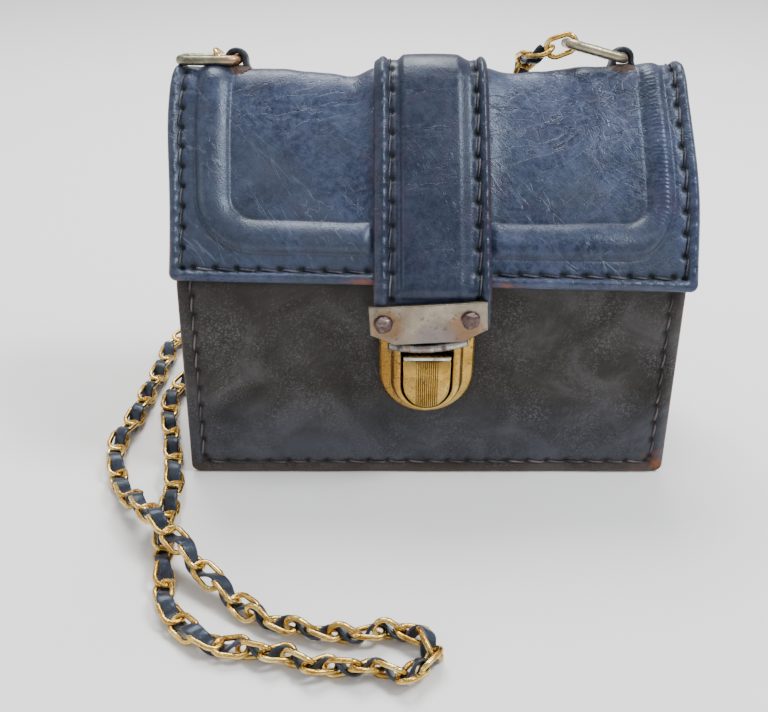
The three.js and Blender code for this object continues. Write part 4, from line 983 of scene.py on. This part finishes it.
def brass_finish(name, left):
    """Worn brass: gold with paler rubs, brown tarnish on the left slope, dark brown where its marks
    say, which is painted shade in the case's step and window and darkens the lever's grooves, and
    dark pits where the plating has let go."""
    material, shader, add = start_finish(name, 0.3, metallic=1.0)
    where = add("TexCoord").outputs["Object"]
    cloud = noise(add, where, 90.0, 6, 0.65, 0.5)
    colour = ramp(add, cloud, (0.3, (0.3, 0.155, 0.025)), (0.5, (0.45, 0.275, 0.06)),
                  (0.7, (0.6, 0.43, 0.15)))
    tarnish = ramp(add, times(add, parts(add, where)["X"], -60.0), (0.35, 0.0), (0.7, left))
    colour = mix(add, tarnish, colour, (0.34, 0.17, 0.03))
    spots = noise(add, where, 1100.0, 4, 0.7)
    pits = scaled(add, noise(add, where, 160.0, 3), 0.4, spots)
    pits = scaled(add, tarnish, 0.1, pits)
    pit = ramp(add, pits, (0.83, 0.0), (0.88, 0.85))
    # Dark brown from the marks: painted shade in the case's step and window, and darker grooves between the
    # lever's ribs.
    dark = parts(add, attribute(add, "marks"))["X"]
    colour = mix(add, dark, colour, (0.1, 0.05, 0.015))
    colour = mix(add, pit, colour, (0.09, 0.05, 0.025))
    rub = ramp(add, noise(add, stretched(add, where, 78, (3.0, 0.3, 1.0)), 900.0, 3), (0.58, 0.0), (0.7, 0.4))
    colour = mix(add, rub, colour, (0.72, 0.58, 0.3))
    shine = scaled(add, cloud, -0.3, 0.42)
    shine = scaled(add, pit, 0.35, shine)
    height = scaled(add, pit, -1.0, times(add, cloud, 0.6))
    metal = scaled(add, pit, -0.6, 1.0)
    set_surface(add, shader, colour, height, 0.4, 0.0002, Roughness=shine, Metallic=metal)
    return material


case_brass = brass_finish("case_brass", left=0.85)
# Painted shade: dark in the step up to the housing, and inside the window.
case_marks = np.zeros(case.shape)
case_marks[8:11, :, 0], case_marks[-4:, :, 0] = 0.45, 0.75
lock = piece("lock_case", case, grid_faces(*case.shape[:2], wrap=True), case_brass, "brass",
             attributes={"marks": case_marks}, caps=end_caps(*case.shape[:2]))
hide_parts("lock_plate")


# The thumb lever: a solid brass tongue with a ribbed middle and two sloping sides, pinned through
# its foot. A steel lip caps its head.
LEVER_FACET, LEVER_LIP, RIB_COUNT, RIB_PITCH, RIB_DEPTH = 1.2, 1.6, 10, 0.7, 0.35
lever_front = LOCK_BACK - LOCK_PROUD - LEVER_PROUD
lever_back = lever_front + LEVER_THICKNESS
half, ribs = LEVER_WIDTH / 2, RIB_COUNT * RIB_PITCH / 2


def rib_share(across):
    """A raised cosine: 0 in the grooves between the ribs and 1 on their tops."""
    return 0.5 - 0.5 * np.cos(2 * np.pi * across / RIB_PITCH + np.pi * RIB_COUNT)


def lever_face(across):
    """Depth of the lever's front at a distance across: ribs as a raised cosine in the middle, and
    straight slopes from there to the sides."""
    side, rib = np.abs(across), RIB_DEPTH * rib_share(across) ** 0.5
    slope = LEVER_FACET * (side - ribs) / (half - ribs)
    return lever_front + np.where(side < ribs, RIB_DEPTH - rib, np.maximum(0.12, slope))


across = [np.linspace(-half, -ribs, 12), np.linspace(-ribs, ribs, 113), np.linspace(ribs, half, 12)]
across = np.unique(np.concatenate(across))
foot_edge = half - np.sqrt(half**2 - across**2)
low = lever_foot + foot_edge[None, :] + np.array([0.0, 0.0, 0.18, 0.6, 3.0])[:, None]
push = np.array([LEVER_THICKNESS, 0.9, 0.25, 0.0, 0.0])[:, None]
upper = np.array([lever_foot + half + 2, lever_head - LEVER_LIP - 0.9, lever_head - LEVER_LIP - 0.35])
low = np.vstack([low, np.broadcast_to(upper[:, None], (3, len(across)))])
push = np.vstack([push, [[0.0], [0.0], [0.45]]])
depth = np.minimum(lever_face(across)[None, :] + push, lever_back)
face = as_points(LOCK_ACROSS + across, depth, np.maximum.accumulate(low, axis=0))
top = face[-1:] * [1, 0, 1] + [0, lever_back, 0]
block = np.concatenate([face, top])
block_marks = np.zeros(block.shape)
block_marks[1:-1, :, 0] = 0.8 * (1 - rib_share(across)) ** 2 * (np.abs(across) < ribs + 0.1)
rib_brass = brass_finish("rib_brass", left=0.35)
flank = np.arange(len(block)) * len(across)
flanks = [list(flank), list(flank[::-1] + len(across) - 1)]
first_row, last_row = end_caps(*block.shape[:2])
back_face = list(first_row) + list(last_row)[::-1]
lever = piece("thumb_lever", block, grid_faces(*block.shape[:2]), rib_brass, "brass", body="thumb_lever",
              attributes={"marks": block_marks}, caps=flanks + [back_face])
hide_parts("lock_lever")

lip_bright = metal_finish("bright_lip", (0.3, 0.27, 0.22), (0.6, 0.58, 0.52), (0.85, 0.84, 0.8), 0.22,
                          (0.3, 0.16, 0.05), (0.85, 0.0), scale=1.5)
turn = np.linspace(0, 2 * np.pi, 33)[:-1]
bulge = superellipse(turn, 0.6)
reach = np.array([0.0, 0.55, 0.9, 1.0, 1.0, 0.9, 0.55, 0.0])
along = (half + 0.15) * np.array([-1, -0.985, -0.96, -0.9, 0.9, 0.96, 0.985, 1])
lip_depth = LEVER_THICKNESS / 2
lip = as_points(
    LOCK_ACROSS + along[:, None],
    lever_front + RIB_DEPTH / 2 + lip_depth / 2 - 0.2 + reach[:, None] * lip_depth / 2 * bulge[0],
    lever_head - LEVER_LIP / 2 + reach[:, None] * LEVER_LIP / 2 * bulge[1])
piece("lever_lip", lip, grid_faces(*lip.shape[:2], wrap=True), lip_bright, "brass", body="thumb_lever")


# The rings: two closed wires, bent by hand into rounded oblongs. Their plating has dulled to
# olive, and rusts where the leather holds it.
RING_LENGTH, RING_WIDTH, RING_WIRE, RING_CORNER, RING_STATIONS = 22.4, 15.0, 3.2, 3.2, 96


def cad_frame(node):
    """Middle and axes, long, wide and thin, of a flat node: the directions in which its points
    spread most, by singular values."""
    mesh = bpy.data.objects[node].data
    points = np.empty(3 * len(mesh.vertices))
    mesh.vertices.foreach_get("co", points)
    points = points.reshape(-1, 3) * 1000
    middle = (points.min(0) + points.max(0)) / 2
    middle = points.mean(0) if np.linalg.norm(points.mean(0) - middle) < 1 else middle
    axes = np.linalg.svd(points - middle, full_matrices=False)[2]
    axes[2] = np.cross(axes[0], axes[1])
    return middle, axes


def oblong(length, width, corner, steps):
    """A closed line of four straight bars and four quarter circles, in a plane."""
    x, y = length / 2 - corner, width / 2 - corner
    quarter = np.linspace(0, np.pi / 2, steps)
    parts = []
    for i, (sx, sy) in enumerate(((1, 1), (-1, 1), (-1, -1), (1, -1))):
        angle = quarter + i * np.pi / 2
        parts.append(np.stack([sx * x + corner * np.cos(angle), sy * y + corner * np.sin(angle)], -1))
    line = np.concatenate(parts)
    gap = np.linalg.norm(np.roll(line, -1, 0) - line, axis=1)
    run = np.append(0, np.cumsum(gap))
    closed = np.vstack([line, line[:1]])
    even = np.linspace(0, run[-1], RING_STATIONS + 1)[:-1]
    return at_run(even, run, closed)


ring_finishes = {
    "left": metal_finish("olive_nickel", (0.14, 0.13, 0.09), (0.25, 0.24, 0.17), (0.4, 0.38, 0.28), 0.36,
                         (0.22, 0.12, 0.06), (0.95, 0.0), scale=1.3),
    "right": metal_finish("beige_nickel", (0.2, 0.17, 0.11), (0.36, 0.32, 0.22), (0.52, 0.48, 0.35), 0.34,
                          (0.24, 0.12, 0.05), (0.92, 0.0), scale=1.3),
}
stained_or_shaded(ring_finishes["left"], [((-65, 19, 137), 9)], (0.5, 0.24, 0.11))
stained_or_shaded(ring_finishes["right"], [((66, 19, 137), 5)], (0.4, 0.25, 0.14))
for name in ("left", "right"):
    middle, axes = cad_frame("ring_" + name)
    line = oblong(RING_LENGTH - RING_WIRE, RING_WIDTH - RING_WIRE, RING_CORNER, 9)
    centres = middle + line[:, :1] * axes[0] + line[:, 1:] * axes[1]
    station = np.arange(RING_STATIONS)
    wobble = 1 + 0.02 * np.sin(station * 0.46) + 0.015 * np.sin(station * 1.1)
    wire = tubes(centres[None], axes[2], RING_WIRE / 2 * wobble, 20, loop=True)
    ring = piece("wire_ring_" + name, wire[0], wire[1], ring_finishes[name], "nickel")
    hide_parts("ring_" + name)


# The ring loops: short tabs of black leather, put over the ring and down through two slits in the
# top. Their cut edges and the torn hide round the slits are bare brown suede.
LOOP_ACROSS, LOOP_WIDTH, LOOP_THICKNESS, LOOP_FROM_BACK, RING_RISE = 65.0, 7.2, 1.9, 13.0, 2.5
loop_run = np.interp(BODY_DEPTH / 2 - LOOP_FROM_BACK, side_points[:400, 0], side_run[:400])


def band(centres, normals, width, thickness, round_to=0.5, count=20):
    """A flat band along one path. Its section is a superellipse: the cosine and sine of each
    turn, both brought nearer to one by the power that rounds its corners."""
    along = unit(np.gradient(centres, axis=0))
    side = unit(np.cross(along, normals))
    up = np.cross(side, along)
    turn = np.arange(count) * 2 * np.pi / count
    x, y = superellipse(turn, round_to)
    width, thickness = (np.broadcast_to(size, len(centres)) / 2 for size in (width, thickness))
    points = centres[:, None] + (width[:, None] * x)[..., None] * side[:, None]
    points = points + (thickness[:, None] * y)[..., None] * up[:, None]
    return points, grid_faces(len(centres), count, wrap=True), end_caps(len(centres), count)


black_hide = leather_finish(
    "black_hide", (0.006, 0.006, 0.007), (0.014, 0.014, 0.017), (0.045, 0.045, 0.055), 0.42,
    scratches=((10, (4.0, 0.6, 1.0), 0.03),), cells=(0, (1.6, 0.9, 1.0), 0.9, 1.0), raw=0.0)
torn_suede = suede_finish("torn_suede", (0.012, 0.008, 0.008), (0.05, 0.03, 0.026), (0.11, 0.07, 0.06),
                          (0.2, 0.14, 0.13))
for name, side in (("left", -1), ("right", 1)):
    radius = RING_WIRE / 2 + CLEARANCE + LOOP_THICKNESS / 2
    turn = np.linspace(0, np.pi, 25)
    legs = np.linspace(-3.6, RING_RISE, 9)[:-1]
    x = np.concatenate([np.full(8, radius), radius * np.cos(turn), np.full(8, -radius)])
    out = np.concatenate([legs, RING_RISE + radius * np.sin(turn), legs[::-1]])
    x = x + 0.9 * np.sign(x) * np.exp(-((out + 1.2) / 1.6) ** 2)
    centres = on_leather(side * LOOP_ACROSS + x, np.full(len(x), loop_run), out)
    middle = on_leather(np.array([side * LOOP_ACROSS]), np.array([loop_run]), np.array([RING_RISE]))
    outward = unit(centres - middle)
    tab = band(centres, outward, LOOP_WIDTH, LOOP_THICKNESS)
    run = np.broadcast_to(run_along(centres)[:, None], tab[0].shape[:2])
    sideways = np.broadcast_to(np.cos(np.arange(20) * np.pi / 10) * LOOP_WIDTH / 2, tab[0].shape[:2])
    rim = 0.5 * np.clip(np.abs(sideways) - 3.2, 0, 1)
    marks = np.stack([0 * rim, rim, 0 * rim], -1)
    lay = np.stack([run, sideways, np.ones_like(run)], -1)
    loop = piece("ring_tab_" + name, *tab[:2], black_hide, "loop_leather",
                 attributes={"lay": lay, "marks": marks}, caps=tab[2])
    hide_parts("ring_loop_" + name)
    turn, share = np.meshgrid(np.linspace(0, 2 * np.pi, 73)[:-1], np.linspace(0, 1, 9), indexing="ij")
    circle = turn / (2 * np.pi)
    ragged = 1 + waves((0.05, circle * 5), (0.05, circle * 8 + 0.3 * side), (0.04, circle * 17))
    around, beside = 5.0 * ragged * share * np.cos(turn), 5.7 * ragged * share * np.sin(turn) - 2.2
    folded = waves((1.0, circle * 13 + share), (0.7, circle * 7 - 2 * share))
    swell = 0.95 * (1 - share**3) ** 0.7 - 0.25 + 0.08 * share * folded
    collar = on_leather(side * LOOP_ACROSS + around, loop_run + beside, swell)
    collar_lay = np.stack([around, beside, 0 * share], -1)
    collar_marks = np.stack([0 * share, 0.5 * share, 0.2 + 0 * share], -1)
    piece("torn_edge_" + name, collar, grid_faces(*collar.shape[:2], loop=True), torn_suede, "loop_leather",
          attributes={"lay": collar_lay, "marks": collar_marks})


# The chain: gilt curb links, each an oval of wire with a half twist, every second one turned over
# the other way. A strip of navy leather is woven through, over one joint and under the next.
LINK_LENGTH, LINK_WIDTH, LINK_WIRE, LINK_TURN, LINK_TWIST = 12.0, 8.0, 1.75, 30.0, 36.0
LOOSE_PITCH, BUNCHED_PITCH, WAY_STEPS = 8.35, 6.5, 24
# The chain's way, from behind the left ring down, out, forward, round and back to the right ring:
# how far right of the bag's middle, how far behind its back, how far up.
CHAIN_ROUTE = np.array([
    (-72.4, 6.1, 124.7), (-72.4, 6.1, 115), (-72.4, 5, 104), (-72.8, 4.8, 80), (-73.4, 5, 56),
    (-74.6, 7, 34),
    (-76.6, 12.5, 17.5), (-82.5, 23, 7), (-93, 32.5, 4.1), (-103.5, 35, 4.1), (-109, 25, 4.1),
    (-109.6, 8, 4.1),
    (-111.3, -14, 4.1), (-113, -35, 4.1), (-115.2, -50, 4.1), (-112.3, -65, 4.1), (-106.2, -79.6, 5),
    (-98, -92, 9), (-89.5, -104, 12.6), (-80, -114.6, 11), (-70.8, -123.6, 7.5), (-62, -131.2, 4.7),
    (-51, -139.6, 4.1), (-38, -143.6, 4.1), (-27, -146, 4.1), (-14, -144.4, 4.1), (-4.2, -147, 4.1),
    (-2.4, -154, 4.1), (-8, -160.2, 4.1), (-19, -158, 4.1), (-33, -157.6, 4.1), (-46, -153, 4.1),
    (-59, -150.6, 4.1), (-70.5, -146, 4.1), (-80.4, -134.5, 4.1), (-84.6, -118, 4.1),
    (-87.8, -102, 4.1),
    (-88.8, -88, 4.1), (-89.6, -75, 4.1), (-92.2, -62, 4.1), (-95.4, -48, 4.1), (-99, -34, 4.1),
    (-101, -20, 4.1),
    (-99, -7, 4.1), (-91.5, 2.5, 4.1), (-79, 5.6, 4.1), (-60, 6.2, 4.1), (-35, 6.6, 4.1),
    (-8, 7.4, 4.1),
    (14, 8.2, 4.6), (26, 7.4, 9), (31.4, 6, 20), (32.6, 5, 40), (33, 4.8, 70), (33.2, 4.8, 98),
    (33.4, 5.2, 115),
    (33.5, 4, 125.5), (33.6, 0.4, 131.8), (33.8, -4.3, 135),
])
end_frames = {key: cad_frame("link_" + key) for key in ("left_1", "left_2", "right_2", "right_1")}
route = CHAIN_ROUTE + [0, BODY_DEPTH / 2, 0]
route[:, 2] -= 0.35 * (1 - soft_step(4.1, 9, route[:, 2]))
route = np.vstack([end_frames["left_1"][0], end_frames["left_2"][0], route[1:-1], end_frames["right_2"][0],
                   end_frames["right_1"][0]])
way = smooth_curve(route, WAY_STEPS)
way_run = run_along(way)
# In front of the bag the links are bunched and stand on edge; elsewhere they are pulled straight.
bunched = soft_step(-66, -50, way[:, 0]) * soft_step(-96, -108, way[:, 1])
pitch = LOOSE_PITCH + (BUNCHED_PITCH - LOOSE_PITCH) * bunched[1:]
links_run = np.append(0, np.cumsum(np.diff(way_run) / pitch))
links_run = links_run - links_run[WAY_STEPS]
LINKS = int(round(links_run[-WAY_STEPS - 1])) - 1
links_run = links_run * (LINKS + 1) / links_run[-WAY_STEPS - 1]
stops = np.interp(np.arange(LINKS + 2), links_run, way_run)


def on_way(run):
    """Point, direction and upper side of the chain at a distance along its way. The upper side
    is up where the chain lies, and turns to the back where it hangs."""
    point = np.stack([np.interp(run, way_run, way[:, i]) for i in range(3)], -1)
    ahead = np.stack([np.interp(run + 2, way_run, way[:, i]) for i in range(3)], -1)
    behind = np.stack([np.interp(run - 2, way_run, way[:, i]) for i in range(3)], -1)
    along = unit(ahead - behind)
    hang = np.maximum(np.abs(along[..., 2:]), 0.55 * np.interp(run, way_run, bunched)[..., None])
    upper = (1 - hang) * np.array([0, 0, 1.0]) + hang * np.array([0, 1.0, 0])
    return point, along, unit(upper - np.sum(upper * along, -1, keepdims=True) * along)


def link_loops(centres, along, upper):
    """One oval of wire round each place. Its two halves are half circles, and a place on it is
    turned about the chain by the twist, in proportion to how far along the link it lies."""
    turn = np.arange(18) * 2 * np.pi / 18
    straight, bow = (LINK_LENGTH - LINK_WIDTH) / 2, (LINK_WIDTH - LINK_WIRE) / 2
    x = straight * np.sign(np.round(np.cos(turn), 6)) + bow * np.cos(turn)
    lean = np.radians(LINK_TWIST) * x / LINK_LENGTH
    across, up = bow * np.sin(turn) * np.cos(lean), bow * np.sin(turn) * np.sin(lean)
    flat = across[:, None] * np.cross(upper, along)[:, None] + up[:, None] * upper[:, None]
    return centres[:, None] + x[:, None] * along[:, None] + flat


places, along, upper = on_way(stops[1:-1])
sign = np.where(np.arange(LINKS) % 2 == 0, 1, -1)
drift = 6 * np.sin(np.arange(LINKS) * 2.4) + 5 * np.sin(np.arange(LINKS) * 1.13)
tilt = np.radians(sign * LINK_TURN + drift)[:, None]
leaned = np.cos(tilt) * upper + np.sin(tilt) * np.cross(upper, along)
slack = np.interp(stops[1:-1], way_run, bunched) * np.radians(np.where(sign > 0, 34, -6))
aside = np.cross(leaned, along)
along = np.cos(slack)[:, None] * along + np.sin(slack)[:, None] * aside
ends = [(frame[0], frame[1][0], frame[1][2]) for frame in end_frames.values()]
places, along, leaned = (np.vstack([part, [end[i] for end in ends]])
                         for i, part in enumerate((places, along, leaned)))
loops = link_loops(places, along, leaned)
gilt = metal_finish("gilt_wire", (0.3, 0.13, 0.02), (0.66, 0.42, 0.1), (0.9, 0.7, 0.28), 0.2,
                    (0.3, 0.16, 0.04), (0.9, 0.0), scale=1.6)
links = tubes(loops, np.broadcast_to(leaned[:, None], loops.shape), LINK_WIRE / 2, 8, loop=True)
links = piece("chain_links", links[0], links[1], gilt, "gilt")
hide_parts("chain_strap", "link_left_1", "link_left_2", "link_right_1", "link_right_2")

# The strip in the chain swings above and below its middle line by a cosine with a period of two
# links, and crosses it at each link's middle.
STRIP_WIDTH, STRIP_THICKNESS, STRIP_SWING = 4.8, 1.1, 2.2
phase = np.pi * np.linspace(-0.2, LINKS + 1.2, (LINKS + 1) * 14)
run = np.interp(phase / np.pi, links_run, way_run)
point, along, upper = on_way(run)
swing = squared(np.sin(phase), 0.8)
sway = 0.35 * np.sin(run * 0.31)[:, None] * np.cross(upper, along)
centres = point + STRIP_SWING * swing[:, None] * upper + sway
lean = np.radians(9 * np.cos(phase) + 6 * np.sin(run * 0.17))[:, None]
facing = np.cos(lean) * upper + np.sin(lean) * np.cross(upper, along)
strip = band(centres, facing, STRIP_WIDTH * (1 + 0.04 * np.sin(run * 0.9)), STRIP_THICKNESS, 0.45, 14)
sideways = np.cos(np.arange(14) * np.pi / 7)
strip_lay = as_points(run[:, None], sideways * STRIP_WIDTH / 2, 1.0)
strip_marks = as_points(0.0, 0.35 * np.abs(sideways) ** 8, 0.0 * run[:, None])
strip_hide = leather_finish(
    "strip_hide", (0.005, 0.006, 0.011), (0.014, 0.018, 0.028), (0.045, 0.055, 0.08), 0.3,
    scratches=((0, (6.0, 0.6, 1.0), 0.03),), cells=(90, (1.5, 0.8, 1.0), 0.8, 0.6), raw=0.1)
strip = piece("chain_leather", *strip[:2], strip_hide, "loop_leather",
              attributes={"lay": strip_lay, "marks": strip_marks}, caps=strip[2])


# The studio: a pale seamless floor, a soft light above and behind the bag, another high on the
# right, a weak one on the left, and the camera at the photo's angle.
def soft_light(name, place, size, power, colour=(1, 1, 1)):
    """A square area light that faces the middle of the bag."""
    data = bpy.data.lights.new(name, "AREA")
    data.size, data.energy, data.color = size, power, colour
    light = bpy.data.objects.new(name, data)
    bpy.context.scene.collection.objects.link(light)
    light.location = place
    aim = np.array([0, 0, 0.07]) - np.array(place)
    light.rotation_euler = (np.arctan2(np.hypot(aim[0], aim[1]), -aim[2]), 0, np.arctan2(-aim[0], aim[1]))


soft_light("overhead", (-0.1, 0.5, 0.97), 0.55, 13.0, (1, 0.98, 0.96))
soft_light("left", (-0.95, -0.3, 0.55), 0.4, 1.2)
soft_light("right", (0.7, -0.2, 1.05), 0.35, 13.0, (0.95, 0.97, 1))

floor_mesh = bpy.data.meshes.new("floor")
FLOOR_REACH = 3.0
corners = [(x * FLOOR_REACH, y * FLOOR_REACH, 0) for x, y in ((-1, -1), (1, -1), (1, 1), (-1, 1))]
floor_mesh.from_pydata(corners, [], [(0, 1, 2, 3)])
floor = bpy.data.objects.new("floor", floor_mesh)
bpy.context.scene.collection.objects.link(floor)
pale, pale_shader, _ = start_finish("pale_floor", 0.9)
pale_shader.inputs["Base Color"].default_value = (0.95, 0.95, 0.95, 1)
floor_mesh.materials.append(pale)

world = bpy.data.worlds.new("studio")
world.use_nodes = True
world.node_tree.nodes["Background"].inputs["Color"].default_value = (1, 1, 1, 1)
world.node_tree.nodes["Background"].inputs["Strength"].default_value = 0.7
bpy.context.scene.world = world

camera_data = bpy.data.cameras.new("camera")
camera_data.lens, camera_data.sensor_width = 45, 36
camera = bpy.data.objects.new("camera", camera_data)
camera.location = (-0.0156, -0.3138, 0.212)
camera.rotation_euler = (np.radians(60), 0, 0)
bpy.context.scene.collection.objects.link(camera)
bpy.context.scene.camera = camera
